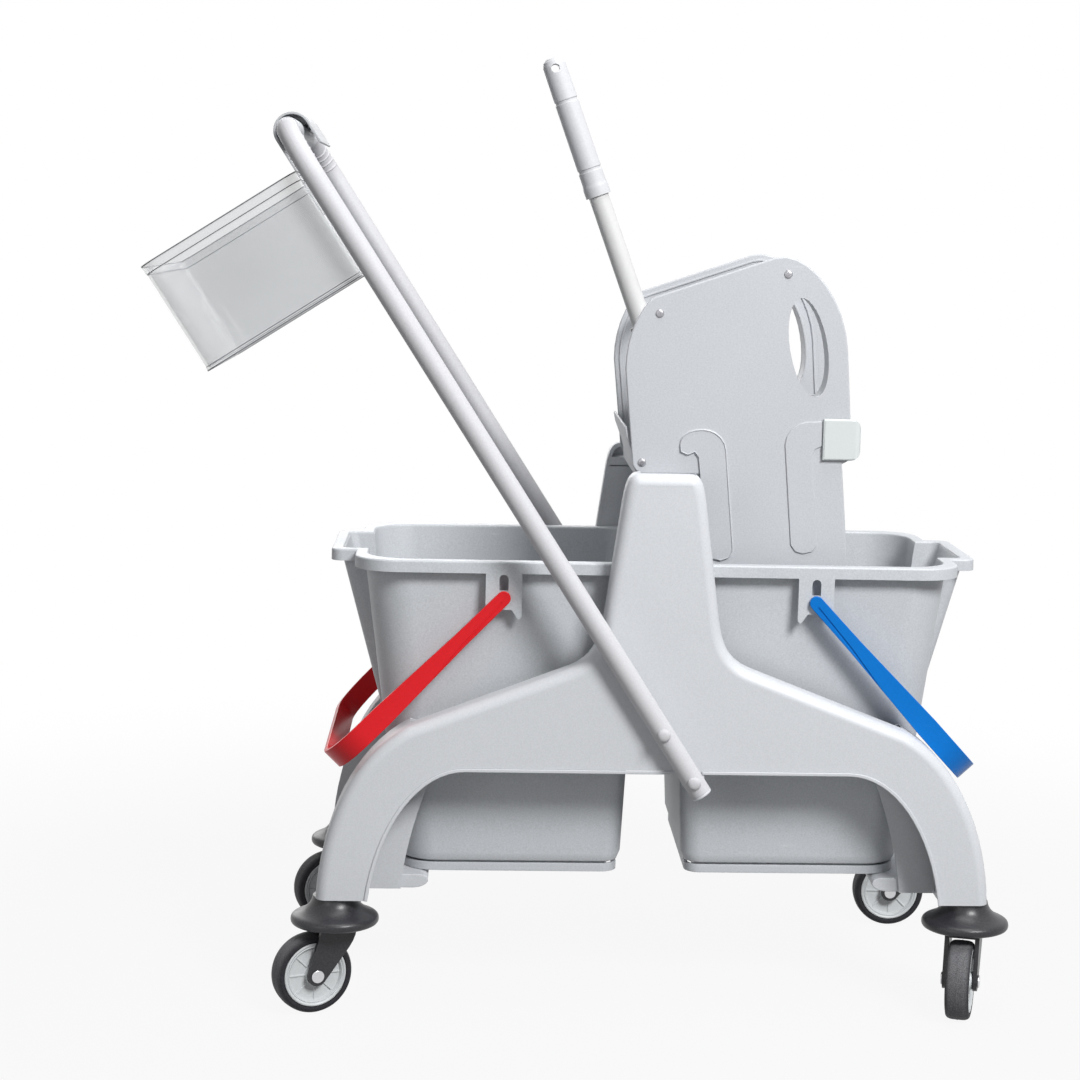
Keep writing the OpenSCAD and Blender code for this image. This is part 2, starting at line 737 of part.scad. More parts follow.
// Bail: a strap bent to a U, wider toward the grip, with a pin at each end
module bail(drop) {
    in_y = rim_half + side_gap;
    out_y = in_y + bail_t;
    head_y = rim_half - 3 - 0.3;
    taper = concat(
        [[60, -7.5], [170, -11], [bail_len + 1, -11], [bail_len + 1, 11], [170, 11], [60, 7.5]],
        [for (i = [0:8]) 7 * [cos(90 + 22.5 * i), sin(90 + 22.5 * i)]]
    );
    groove = [[4, -0.8], [4, -2.2], [60, -5.4], [112, -9.2], [60, -3.8]];
    translate([pivot_x, 0, pivot_z]) rotate([0, drop, 0]) union() {
        intersection() {
            translate([0, 0, -12]) linear_extrude(24) difference() {
                polygon(plan([-60, bail_len, out_y, 1, 48]));
                polygon(plan([-80, bail_len - bail_t, in_y, 1, 43.5]));
            }
            difference() {
                prism(taper, -out_y - 5, out_y + 5);
                prism(groove, -out_y - 6, -out_y + 1);
                prism(groove, out_y - 1, out_y + 6);
            }
        }
        for (s = [0, 1]) mirror([0, s, 0]) {
            bar(0, 0, pin_r, -in_y - 1, -head_y + 3);
            bar(0, 0, pin_r + 2, -head_y, -head_y + 4);
        }
    }
}

module bail_red() { color(red) mirror([1, 0, 0]) bail(drop_red); }
module bail_blue() { color(blue) bail(drop_blue); }

// Raised ribs shaped like a walking stick on the wringer plates
module cane_left() {
    p = concat(
        [[49, 462], [54, 455], [63, 453], [71, 456], [75, 463], [65, 565]],
        bez([65, 565], [64, 577], [53, 585], [42, 585], 5),
        bez([42, 585], [29, 585], [19, 580], [19, 570], 5),
        [[20, 563], [27, 560], [34, 563], [38, 558]]
    );
    prism(p, -plate_y - rib_t, -plate_y + 1);
}

module cane_right() {
    p = concat(
        [[134, 470], [139, 463], [147, 461], [156, 463], [161, 470], [153, 560]],
        [[156, 568], [163, 571], [163, 596]],
        bez([153, 596], [138, 596], [126, 588], [125, 572], 6)
    );
    prism(p, -plate_y - rib_t, -plate_y + 1);
}

module wringer_plate() {
    inner = -plate_y + plate_t;
    difference() {
        union() {
            prism(plate_outline, -plate_y, inner);
            cane_left();
            cane_right();
        }
        prism(hole_outline, -plate_y - 3, inner + 3);
        bar(shaft_x, shaft_z, shaft_r, -plate_y + 1.5, inner + 1);
        bar(jaw_x, jaw_z, jaw_pin_r, -plate_y + 1.5, inner + 1);
        for (t = tie_places)
            bar(t[0], t[1], 2, -plate_y - 3, inner + 1);
    }
}

module wringer_plate_near() { color(grey) wringer_plate(); }
module wringer_plate_far() { color(grey) mirror([0, 1, 0]) wringer_plate(); }

// Foot brackets that stand on the tower shelves, with a tongue in the tower pocket
module wringer_foot() {
    out = -frame_y + 12;
    inner = -plate_y + plate_t;
    low = plate_z - foot_drop;
    union() {
        translate([-18, out, low]) cube([44, inner + 3 - out, 3]);
        translate([-10, inner, low]) cube([34, 3, foot_drop + 16]);
        translate([-10, out, low - 30]) cube([34, 9, 31]);
    }
}

module wringer_feet() {
    color(grey) union() {
        wringer_foot();
        mirror([0, 1, 0]) wringer_foot();
    }
}

// Round bars that tie the two plates together
module tie_bars() {
    inner = plate_y - plate_t;
    color(steel) for (t = tie_places)
        difference() {
            bar(t[0], t[1], tie_r, -inner, inner);
            bar(t[0], t[1], 2, -inner - 1, -inner + 12);
            bar(t[0], t[1], 2, inner - 12, inner + 1);
        }
}

// Cross headed screws in the ends of the tie bars
module wringer_screw() {
    difference() {
        union() {
            rotate([90, 0, 0]) rotate_extrude($fn = 32) polygon([
                [0, -plate_t - 8], [2, -plate_t - 8], [2, 0], [4.2, 0], [4, 1], [2.8, 1.8], [0, 2.1]
            ]);
        }
        for (a = [0, 90]) rotate([0, a, 0]) translate([-2, -3, -0.4]) cube([4, 1.6, 0.8]);
    }
}

module wringer_screws() {
    color(steel) for (t = tie_places) {
        translate([t[0], -plate_y, t[1]]) wringer_screw();
        mirror([0, 1, 0]) translate([t[0], -plate_y, t[1]]) wringer_screw();
    }
}

// Channel clips pushed over the plate edges, rounded where they pass the edge
module edge_clip() {
    out = -plate_y - rib_t - 3;
    inner = -plate_y + plate_t + 3;
    half = (inner - out) / 2;
    tall = (clip_high - clip_low) / 2;
    face = plan([clip_in, clip_out, tall, 1.5, 11]);
    wrap = plan([clip_in, clip_out, half, 1.2, half - 0.2]);
    difference() {
        intersection() {
            prism([for (q = face) q + [0, (clip_low + clip_high) / 2]], out, inner);
            translate([0, (inner + out) / 2, clip_low - 1]) linear_extrude(2 * tall + 2) polygon(wrap);
        }
        translate([clip_in - 1, -plate_y - rib_t, clip_low - 1])
            cube([192 - clip_in, plate_t + rib_t, clip_high - clip_low + 2]);
    }
}

module edge_clips() {
    color([0.87, 0.9, 0.88]) union() {
        edge_clip();
        mirror([0, 1, 0]) edge_clip();
    }
}

// Slotted press panel: width along Y, height along Z, with rows of drain slots
module press_panel(half, h, t, rows, columns) {
    pitch = 2 * (half - 12) / columns;
    tall = (h - 24) / rows - 8;
    difference() {
        translate([-t / 2, -half, 0]) cube([t, 2 * half, h]);
        for (i = [0:columns - 1], j = [0:rows - 1])
            translate([-t, -half + 12 + pitch * (i + 0.5) - 4, 16 + j * (tall + 8)]) cube([2 * t, 8, tall]);
    }
}

module fixed_jaw() {
    half = plate_y - plate_t;
    color(grey) translate([fixed_x, 0, fixed_z]) rotate([0, fixed_lean, 0])
        press_panel(half, fixed_h, plate_t, 3, 9);
}

module sieve_floor() {
    half = plate_y - plate_t;
    long = fixed_x - jaw_x - 12;
    pitch = 2 * half / 10;
    color(grey) translate([jaw_x + 4, 0, sieve_z]) difference() {
        translate([0, -half, 0]) cube([long, 2 * half, 4]);
        for (i = [-4:4]) translate([6, pitch * i - 4, -1]) cube([long - 12, 8, 6]);
    }
}

module lever_shaft() {
    inner = plate_y - plate_t;
    color(steel) bar(shaft_x, shaft_z, shaft_r, -inner - plate_t + 1.5, inner + plate_t - 1.5);
}

module jaw_pin() {
    inner = plate_y - plate_t;
    color(steel) bar(jaw_x, jaw_z, jaw_pin_r, -inner - plate_t + 1.5, inner + plate_t - 1.5);
}

module moving_jaw() {
    half = plate_y - plate_t - 3;
    color(grey) on_jaw() difference() {
        union() {
            translate([0, 0, 2]) press_panel(half, jaw_h - 2, 6, 3, 9);
            bar(0, 0, jaw_pin_r + 4, -half, half);
        }
        bar(0, 0, jaw_pin_r + run_gap, -half - 1, half + 1);
    }
}

module lever_tube() {
    color([0.95, 0.95, 0.95]) on_lever() difference() {
        translate([0, 0, 18]) cylinder(r = lever_r, h = lever_len - 40);
        translate([0, 0, 17]) cylinder(r = lever_r - 1.5, h = lever_len);
    }
}

// Moulded hand grip with grip rings, a wide collar and a hanging hole
module lever_grip() {
    low = lever_len - grip_len;
    hang = lever_len - 11;
    color(grey) on_lever() difference() {
        rotate_extrude() polygon([
            [0, low + 4], [lever_r, low + 4], [lever_r, low], [grip_r + 0.8, low], [grip_r + 0.8, low + 9],
            [grip_r, low + 14], [grip_r, low + 26], [grip_r - 0.9, low + 27], [grip_r - 0.9, low + 29],
            [grip_r, low + 30], [grip_r - 0.2, lever_len - 48], [grip_r - 1.1, lever_len - 47],
            [grip_r - 1.1, lever_len - 45], [grip_r - 0.2, lever_len - 44], [grip_r - 0.6, lever_len - 8],
            [grip_r - 2.4, lever_len - 3], [grip_r - 6, lever_len], [0, lever_len]
        ]);
        translate([0, 0, low - 1]) cylinder(r = lever_r, h = grip_len - 21);
        rotate([90, 0, 0]) translate([0, hang, 0]) cylinder(r = hang_r, h = 4 * grip_r, center = true);
    }
}

// Cast yoke: barrel on the shaft, socket for the tube and two arms for the roller
module lever_yoke() {
    tip = -push_len - 8;
    arm = [[-9, 4], [9, 4], [7.5, tip + 3], [3, tip], [-3, tip], [-7.5, tip + 3]];
    color(dark) on_lever() difference() {
        union() {
            bar(0, 0, shaft_r + 7, -40, 40);
            cylinder(r = lever_r + 3, h = 64);
            prism(arm, 32, 38);
            prism(arm, -38, -32);
            bar(0, -push_len, 4, 36, 40);
            bar(0, -push_len, 4, -40, -36);
        }
        bar(0, 0, shaft_r + run_gap, -41, 41);
        translate([0, 0, 18]) cylinder(r = lever_r, h = 60);
        bar(0, -push_len, 3, -50, 50);
    }
}

module push_roller() {
    color(steel) on_lever() union() {
        bar(0, -push_len, roller_r, -31.5, 31.5);
        bar(0, -push_len, 3, -41, 41);
    }
}

place() side_frame_near();
place() side_frame_far();
place() centre_wall();
place() deck_rail_red();
place() deck_rail_blue();
place() bumper_discs();
place() push_handle();
place() handle_bolts();
place() handle_plugs();
place() handle_grip();
place() storage_box();
place() box_hooks();
place() fork_nl();
place() stem_nl();
place() axle_nl();
place() hub_nl();
place() tyre_nl();
place() fork_nr();
place() stem_nr();
place() axle_nr();
place() hub_nr();
place() tyre_nr();
place() fork_fl();
place() stem_fl();
place() axle_fl();
place() hub_fl();
place() tyre_fl();
place() fork_fr();
place() stem_fr();
place() axle_fr();
place() hub_fr();
place() tyre_fr();
place() bucket_red();
place() bail_red();
place() bucket_blue();
place() bail_blue();
place() wringer_plate_near();
place() wringer_plate_far();
place() wringer_feet();
place() tie_bars();
place() wringer_screws();
place() edge_clips();
place() fixed_jaw();
place() sieve_floor();
place() lever_shaft();
place() jaw_pin();
place() moving_jaw();
place() lever_tube();
place() lever_grip();
place() lever_yoke();
place() push_roller();
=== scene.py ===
# %% [markdown]
# # A double mop bucket trolley
#
# The trolley is a moulded grey chassis on four casters. It carries two lift-out buckets, a lever
# wringer over one of them, a leaning push handle and a storage box. The solids come from the packed
# model and are never moved here. This lesson gives them rounded edges, finishes, light and a camera.

import json
import math

import bmesh
import bpy
from mathutils import Matrix, Vector


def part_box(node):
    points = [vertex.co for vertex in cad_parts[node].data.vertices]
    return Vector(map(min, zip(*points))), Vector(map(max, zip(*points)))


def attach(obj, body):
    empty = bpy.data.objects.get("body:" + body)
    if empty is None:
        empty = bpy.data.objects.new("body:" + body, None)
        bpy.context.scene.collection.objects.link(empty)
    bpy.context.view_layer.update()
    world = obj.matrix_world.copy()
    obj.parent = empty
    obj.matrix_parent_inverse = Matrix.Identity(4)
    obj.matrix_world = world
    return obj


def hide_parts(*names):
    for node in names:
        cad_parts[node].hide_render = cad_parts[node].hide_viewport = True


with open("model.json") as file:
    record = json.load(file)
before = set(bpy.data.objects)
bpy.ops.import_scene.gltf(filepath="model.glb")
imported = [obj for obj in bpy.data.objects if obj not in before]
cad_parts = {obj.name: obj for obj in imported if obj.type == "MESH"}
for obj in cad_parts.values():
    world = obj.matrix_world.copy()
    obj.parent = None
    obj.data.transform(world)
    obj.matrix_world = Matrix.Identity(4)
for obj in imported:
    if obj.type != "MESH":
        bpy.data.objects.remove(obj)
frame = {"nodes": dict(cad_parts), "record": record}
nodes = frame["nodes"]
scene = bpy.context.scene
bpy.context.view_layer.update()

# %% [markdown]
# ## One set of trolley measures
#
# The part was drawn with the middle of the wheelbase at zero, then moved so that its box is centred.
# The same shift turns a measure of the trolley in millimetres into a point of this scene. The four
# bumpers stand evenly round that middle, so the middle of the box round them gives it back.

# %% From trolley millimetres to scene metres
low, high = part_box("bumper_discs")
MID = (low + high) / 2


def point(x, y, z):
    """A point measured from the middle of the trolley, in millimetres, as a place in the scene."""
    return Vector((MID.x + x / 1000, MID.y + y / 1000, z / 1000))


def millimetres(place):
    """A place in the scene, measured from the middle of the trolley in millimetres."""
    return (place - Vector((MID.x, MID.y, 0))) * 1000


print("middle of the wheelbase:", tuple(round(v, 5) for v in MID))

# %% [markdown]
# ## The camera
#
# The photograph was taken a little above and a little to the left of the trolley, from about two and a
# half metres. Yaw, pitch and roll give the camera's own axes, and the lens comes from the focal length
# in pixels of a picture 1080 wide. The small shift puts the trolley where the photograph frames it.

# %% Place the camera
PICTURE = 1080
FOCAL_PX = 2413.6
CENTRE_PX = (620.0, 510.0)
TURNS = (3.557, 6.763, 1.463)
CAMERA_AT = (-189.943, -2517.526, 789.017)
yaw, pitch, roll = (math.radians(a) for a in TURNS)

ahead = Vector((math.sin(yaw) * math.cos(pitch), math.cos(yaw) * math.cos(pitch), -math.sin(pitch)))
level = Vector((math.cos(yaw), -math.sin(yaw), 0))
above = level.cross(ahead)
right = math.cos(roll) * level + math.sin(roll) * above
up = -math.sin(roll) * level + math.cos(roll) * above

lens = bpy.data.cameras.new("photo_camera")
lens.sensor_width = 36
lens.lens = FOCAL_PX / PICTURE * lens.sensor_width
lens.shift_x = (PICTURE / 2 - CENTRE_PX[0]) / PICTURE
lens.shift_y = (CENTRE_PX[1] - PICTURE / 2) / PICTURE
lens.clip_start, lens.clip_end = 0.1, 60
camera = bpy.data.objects.new("photo_camera", lens)
place = Matrix((right, up, -ahead)).transposed().to_4x4()
place.translation = point(*CAMERA_AT)
camera.matrix_world = place
scene.collection.objects.link(camera)
scene.camera = camera
print("lens", round(lens.lens, 2), "mm")

# %% [markdown]
# ## Light
#
# A studio for a pale object needs broad soft light, so that the grey mouldings shade gently and their
# edges still read. The world gives the even part. Large lamps shape it: the main one stands high at the
# right front, so the left ends of the buckets fall into shade, and a weak one lifts the back. Seen
# directly, in a reflection or through the box, the world is plain white.

# %% World and lamps
PURE_WHITE = (1, 1, 1, 1)
SOFT_COLOUR, SOFT_POWER = (0.95, 0.97, 1.0, 1), 0.1
LAMPS = {
    "key_lamp": ((1.4, -2.4, 2.5), (0, 0, 0.4), 1.0, 132),
    "fill_lamp": ((-2.2, -2.8, 1.2), (0, 0, 0.45), 1.6, 12),
    "top_lamp": ((0.4, -0.3, 3.0), (0, 0, 0.4), 1.6, 38),
    "back_lamp": ((-0.8, 3.0, 1.5), (0, 0, 0.4), 2.0, 30),
}


def seen_directly(tree):
    """A socket that is 1 for camera rays, for reflections and for rays that pass through a piece."""
    path = tree.nodes.new("ShaderNodeLightPath")
    either = tree.nodes.new("ShaderNodeMath")
    either.operation = "MAXIMUM"
    any_of = tree.nodes.new("ShaderNodeMath")
    any_of.operation = "MAXIMUM"
    tree.links.new(path.outputs["Is Camera Ray"], either.inputs[0])
    tree.links.new(path.outputs["Is Transmission Ray"], either.inputs[1])
    tree.links.new(either.outputs[0], any_of.inputs[0])
    tree.links.new(path.outputs["Is Glossy Ray"], any_of.inputs[1])
    return any_of.outputs[0]


def lamp(name, place, aim, size, power):
    """A square soft lamp at one point, aimed at another."""
    data = bpy.data.lights.new(name, "AREA")
    data.size = size
    data.energy = power
    obj = bpy.data.objects.new(name, data)
    obj.location = place
    obj.rotation_euler = (Vector(aim) - Vector(place)).to_track_quat("-Z", "Y").to_euler()
    scene.collection.objects.link(obj)


scene.view_settings.view_transform = "Standard"
world = bpy.data.worlds.new("studio")
scene.world = world
world.use_nodes = True
tree = world.node_tree
tree.nodes.clear()
soft = tree.nodes.new("ShaderNodeBackground")
soft.inputs["Color"].default_value = SOFT_COLOUR
soft.inputs["Strength"].default_value = SOFT_POWER
white = tree.nodes.new("ShaderNodeBackground")
white.inputs["Color"].default_value = PURE_WHITE
mixed = tree.nodes.new("ShaderNodeMixShader")
out = tree.nodes.new("ShaderNodeOutputWorld")
tree.links.new(seen_directly(tree), mixed.inputs["Fac"])
tree.links.new(soft.outputs[0], mixed.inputs[1])
tree.links.new(white.outputs[0], mixed.inputs[2])
tree.links.new(mixed.outputs[0], out.inputs["Surface"])

for name, settings in LAMPS.items():
    lamp(name, *settings)

# %% [markdown]
# The floor is pale paper. Close to the trolley it takes a little shadow, and farther out it fades to
# plain white. Light that bounces off it comes from a dull grey, so that the undersides stay in shade.

# %% The floor
FLOOR_RADIUS, FLOOR_GREY = 14, (0.25, 0.25, 0.25, 1)
FADE_FROM, FADE_TO, NEAR_GLOW = 0.55, 1.6, 0.92

floor_mesh = bpy.data.meshes.new("floor")
shape = bmesh.new()
bmesh.ops.create_circle(shape, cap_ends=True, radius=FLOOR_RADIUS, segments=64)
shape.to_mesh(floor_mesh)
shape.free()
floor = bpy.data.objects.new("floor", floor_mesh)
scene.collection.objects.link(floor)
paper = bpy.data.materials.new("pale_floor")
paper.use_nodes = True
tree = paper.node_tree
tree.nodes.clear()
dull = tree.nodes.new("ShaderNodeBsdfDiffuse")
dull.inputs["Color"].default_value = FLOOR_GREY
glow = tree.nodes.new("ShaderNodeEmission")
glow.inputs["Color"].default_value = PURE_WHITE
where = tree.nodes.new("ShaderNodeTexCoord")
far = tree.nodes.new("ShaderNodeVectorMath")
far.operation = "LENGTH"
fade = tree.nodes.new("ShaderNodeMapRange")
fade.interpolation_type = "SMOOTHSTEP"
fade.inputs["From Min"].default_value = FADE_FROM
fade.inputs["From Max"].default_value = FADE_TO
fade.inputs["To Min"].default_value = NEAR_GLOW
mixed = tree.nodes.new("ShaderNodeMixShader")
only = tree.nodes.new("ShaderNodeMath")
only.operation = "MULTIPLY"
out = tree.nodes.new("ShaderNodeOutputMaterial")
tree.links.new(where.outputs["Object"], far.inputs[0])
tree.links.new(far.outputs["Value"], fade.inputs["Value"])
tree.links.new(fade.outputs["Result"], only.inputs[0])
tree.links.new(seen_directly(tree), only.inputs[1])
tree.links.new(only.outputs[0], mixed.inputs["Fac"])
tree.links.new(dull.outputs[0], mixed.inputs[1])
tree.links.new(glow.outputs[0], mixed.inputs[2])
tree.links.new(mixed.outputs[0], out.inputs["Surface"])
floor_mesh.materials.append(paper)
print("floor radius:", FLOOR_RADIUS, "m")

# %% [markdown]
# ## Shared surface effects
#
# Every moulding shows the same few things: a fine grain from the tool, cloudy changes of gloss, and
# faint scuffs. One node group makes all three from Object coordinates, so that the pattern stays with
# the piece. Each material places the group with its own values.

# %% The moulded surface group
def socket(group, name, kind, way, value=None):
    """Add a socket to a node group, with a value where it is an input."""
    made = group.interface.new_socket(name=name, in_out=way, socket_type=kind)
    if value is not None:
        made.default_value = value


def surface_group():
    """The colour, roughness and height of a moulded surface."""
    g = bpy.data.node_groups.new("moulded_surface", "ShaderNodeTree")
    socket(g, "Base", "NodeSocketColor", "INPUT", (0.5, 0.5, 0.5, 1))
    socket(g, "Cloud", "NodeSocketFloat", "INPUT", 0.05)
    socket(g, "Scuff", "NodeSocketFloat", "INPUT", 0.1)
    socket(g, "Gloss Low", "NodeSocketFloat", "INPUT", 0.35)
    socket(g, "Gloss High", "NodeSocketFloat", "INPUT", 0.5)
    socket(g, "Grain Scale", "NodeSocketFloat", "INPUT", 900)
    socket(g, "Speckle", "NodeSocketFloat", "INPUT", 0.03)
    socket(g, "Color", "NodeSocketColor", "OUTPUT")
    socket(g, "Roughness", "NodeSocketFloat", "OUTPUT")
    socket(g, "Height", "NodeSocketFloat", "OUTPUT")
    n, l = g.nodes, g.links
    given = n.new("NodeGroupInput")
    result = n.new("NodeGroupOutput")
    coords = n.new("ShaderNodeTexCoord")
    cloud = n.new("ShaderNodeTexNoise")
    cloud.inputs["Scale"].default_value = 9
    cloud.inputs["Detail"].default_value = 3
    grain = n.new("ShaderNodeTexNoise")
    grain.inputs["Detail"].default_value = 2
    stretch = n.new("ShaderNodeMapping")
    stretch.inputs["Scale"].default_value = (30, 30, 240)
    stretch.inputs["Rotation"].default_value = (0.3, 0.5, 0.2)
    scratch = n.new("ShaderNodeTexNoise")
    scratch.inputs["Scale"].default_value = 1
    scratch.inputs["Detail"].default_value = 4
    line = n.new("ShaderNodeMapRange")
    line.inputs["From Min"].default_value = 0.66
    line.inputs["From Max"].default_value = 0.74
    patch = n.new("ShaderNodeMapRange")
    patch.inputs["From Min"].default_value = 0.5
    patch.inputs["From Max"].default_value = 0.68
    scuffed = n.new("ShaderNodeMath")
    scuffed.operation = "MULTIPLY"
    amount = n.new("ShaderNodeMath")
    amount.operation = "MULTIPLY"
    centred = n.new("ShaderNodeMath")
    centred.operation = "SUBTRACT"
    centred.inputs[1].default_value = 0.5
    specks = n.new("ShaderNodeTexNoise")
    specks.inputs["Scale"].default_value = 620
    specks.inputs["Detail"].default_value = 1
    spread = n.new("ShaderNodeMapRange")
    spread.clamp = False
    spread.inputs["From Min"].default_value = 0.4
    spread.inputs["From Max"].default_value = 0.6
    spread.inputs["To Min"].default_value = -1
    speck = n.new("ShaderNodeMath")
    speck.operation = "MULTIPLY_ADD"
    speck.inputs[2].default_value = 1.0
    tone = n.new("ShaderNodeMath")
    tone.operation = "MULTIPLY_ADD"
    shaded = n.new("ShaderNodeVectorMath")
    shaded.operation = "SCALE"
    pale = n.new("ShaderNodeMix")
    pale.data_type = "RGBA"
    pale.inputs[7].default_value = (0.86, 0.87, 0.88, 1)
    rough = n.new("ShaderNodeMapRange")
    roughened = n.new("ShaderNodeMath")
    roughened.operation = "MULTIPLY_ADD"
    roughened.inputs[1].default_value = 0.25
    height = n.new("ShaderNodeMath")
    height.operation = "MULTIPLY_ADD"
    height.inputs[1].default_value = -0.6
    for tex in (cloud, grain, specks):
        l.new(coords.outputs["Object"], tex.inputs["Vector"])
    l.new(coords.outputs["Object"], stretch.inputs["Vector"])
    l.new(stretch.outputs["Vector"], scratch.inputs["Vector"])
    l.new(given.outputs["Grain Scale"], grain.inputs["Scale"])
    l.new(scratch.outputs["Fac"], line.inputs["Value"])
    l.new(cloud.outputs["Fac"], patch.inputs["Value"])
    l.new(line.outputs["Result"], scuffed.inputs[0])
    l.new(patch.outputs["Result"], scuffed.inputs[1])
    l.new(scuffed.outputs[0], amount.inputs[0])
    l.new(given.outputs["Scuff"], amount.inputs[1])
    l.new(cloud.outputs["Fac"], centred.inputs[0])
    l.new(centred.outputs[0], tone.inputs[0])
    l.new(given.outputs["Cloud"], tone.inputs[1])
    l.new(specks.outputs["Fac"], spread.inputs["Value"])
    l.new(spread.outputs["Result"], speck.inputs[0])
    l.new(given.outputs["Speckle"], speck.inputs[1])
    l.new(speck.outputs[0], tone.inputs[2])
    l.new(given.outputs["Base"], shaded.inputs[0])
    l.new(tone.outputs[0], shaded.inputs["Scale"])
    l.new(amount.outputs[0], pale.inputs[0])
    l.new(shaded.outputs[0], pale.inputs[6])
    l.new(cloud.outputs["Fac"], rough.inputs["Value"])
    l.new(given.outputs["Gloss Low"], rough.inputs["To Min"])
    l.new(given.outputs["Gloss High"], rough.inputs["To Max"])
    l.new(amount.outputs[0], roughened.inputs[0])
    l.new(rough.outputs["Result"], roughened.inputs[2])
    l.new(amount.outputs[0], height.inputs[0])
    l.new(grain.outputs["Fac"], height.inputs[2])
    l.new(pale.outputs[2], result.inputs["Color"])
    l.new(roughened.outputs[0], result.inputs["Roughness"])
    l.new(height.outputs[0], result.inputs["Height"])
    return g


SURFACE = surface_group()
print("group", SURFACE.name, "nodes:", len(SURFACE.nodes))

# %% [markdown]
# ## The finishes
#
# Most of the trolley is one light grey plastic, so small differences between the frame, the buckets and
# the wringer keep the pieces apart. A helper builds a Principled material round the surface group, and
# sets whatever is the same all over straight on the shader.

# %% Build the materials
BUMP_DEEP = 0.0004


def finish(name, base, cloud=0.06, scuff=0.12, gloss=(0.36, 0.5), grain=900, bump=0.06, metal=0.0,
           specular=0.5, speckle=0.02):
    """A Principled material round the surface group."""
    m = bpy.data.materials.new(name)
    m.use_nodes = True
    t = m.node_tree
    p = t.nodes["Principled BSDF"]
    g = t.nodes.new("ShaderNodeGroup")
    g.node_tree = SURFACE
    g.inputs["Base"].default_value = (*base, 1)
    g.inputs["Cloud"].default_value = cloud
    g.inputs["Scuff"].default_value = scuff
    g.inputs["Gloss Low"].default_value = gloss[0]
    g.inputs["Gloss High"].default_value = gloss[1]
    g.inputs["Grain Scale"].default_value = grain
    g.inputs["Speckle"].default_value = speckle
    b = t.nodes.new("ShaderNodeBump")
    b.inputs["Strength"].default_value = bump
    b.inputs["Distance"].default_value = BUMP_DEEP
    t.links.new(g.outputs["Color"], p.inputs["Base Color"])
    t.links.new(g.outputs["Roughness"], p.inputs["Roughness"])
    t.links.new(g.outputs["Height"], b.inputs["Height"])
    t.links.new(b.outputs["Normal"], p.inputs["Normal"])
    p.inputs["Metallic"].default_value = metal
    p.inputs["Specular IOR Level"].default_value = specular
    return m


GREY = finish("frame_grey", (0.56, 0.575, 0.6), gloss=(0.4, 0.52))
BUCKET = finish("bucket_grey", (0.5, 0.52, 0.545), gloss=(0.4, 0.52), scuff=0.2, speckle=0.035)
PLATE = finish("wringer_grey", (0.48, 0.495, 0.52), gloss=(0.42, 0.54), grain=1200, speckle=0.03)
GRIP = finish("grip_grey", (0.545, 0.55, 0.57), gloss=(0.45, 0.58), grain=1100, specular=0.3)
HANGER = finish("hanger_grey", (0.42, 0.43, 0.445), gloss=(0.45, 0.55), specular=0.3)
HUB = finish("hub_grey", (0.58, 0.6, 0.61), gloss=(0.38, 0.52), scuff=0.25, cloud=0.2)
CLIP = finish("clip_white", (0.59, 0.622, 0.622), gloss=(0.4, 0.5), scuff=0.05, speckle=0.01,
              specular=0.35)
DARK = finish("caster_dark", (0.024, 0.024, 0.028), gloss=(0.3, 0.4), grain=600, bump=0.15, scuff=0.06,
              speckle=0.15, specular=0.4)
TYRE = finish("tyre_rubber", (0.022, 0.022, 0.026), gloss=(0.6, 0.75), grain=500, bump=0.2, scuff=0.1,
              speckle=0.15, specular=0.2)
IRON = finish("yoke_dark", (0.05, 0.05, 0.055), gloss=(0.4, 0.6), grain=300, bump=0.2, speckle=0.1)
ZINC = finish("zinc_steel", (0.62, 0.62, 0.64), gloss=(0.22, 0.36), metal=1.0, scuff=0.05)
SCREW = finish("screw_zinc", (0.36, 0.36, 0.38), gloss=(0.3, 0.42), metal=1.0, scuff=0.05)
TUBE = finish("silver_tube", (0.54, 0.54, 0.56), gloss=(0.5, 0.58), scuff=0.05, grain=1500, bump=0.02,
              cloud=0.03, specular=0.2)
PAINT = finish("lever_white", (0.6, 0.6, 0.6), gloss=(0.4, 0.5), scuff=0.05, speckle=0.01, specular=0.25)
RED = finish("bail_red", (0.66, 0.014, 0.02), gloss=(0.3, 0.4), scuff=0.03, cloud=0.1, specular=0.2)
BLUE = finish("bail_blue", (0.0, 0.15, 0.52), gloss=(0.3, 0.4), scuff=0.03, cloud=0.1, specular=0.2)
print("materials:", len(bpy.data.materials))

# %% [markdown]
# The storage box is clear smoke plastic: light passes through it, and two walls together look darker than
# one.
# A part transparent surface gives this without slow refraction. Where one looks along a wall, the box's edges
# look dark; this shade is painted as thin lines with a dark finish of their own. The tyre's tread is worn
# pale
# where it rolls: a number stored on each point of the tyre says how far up the tread it lies.

# %% Smoke plastic, the painted edge shade and the worn tread
SMOKE_ALPHA = 0.27
WORN_COLOUR = (0.2, 0.2, 0.21)
SMOKE = finish("smoke_plastic", (0.46, 0.48, 0.5), gloss=(0.22, 0.34), cloud=0.0, scuff=0.0,
               speckle=0.015)
SMOKE.node_tree.nodes["Principled BSDF"].inputs["Alpha"].default_value = SMOKE_ALPHA
# Painted shade: the dark finish of the lines where the box's edges look dark when seen along the wall.
EDGE_SHADE = finish("smoke_edge_painted_shade", (0.15, 0.155, 0.165), gloss=(0.22, 0.34), scuff=0.02, speckle=0.01,
              specular=0.3)


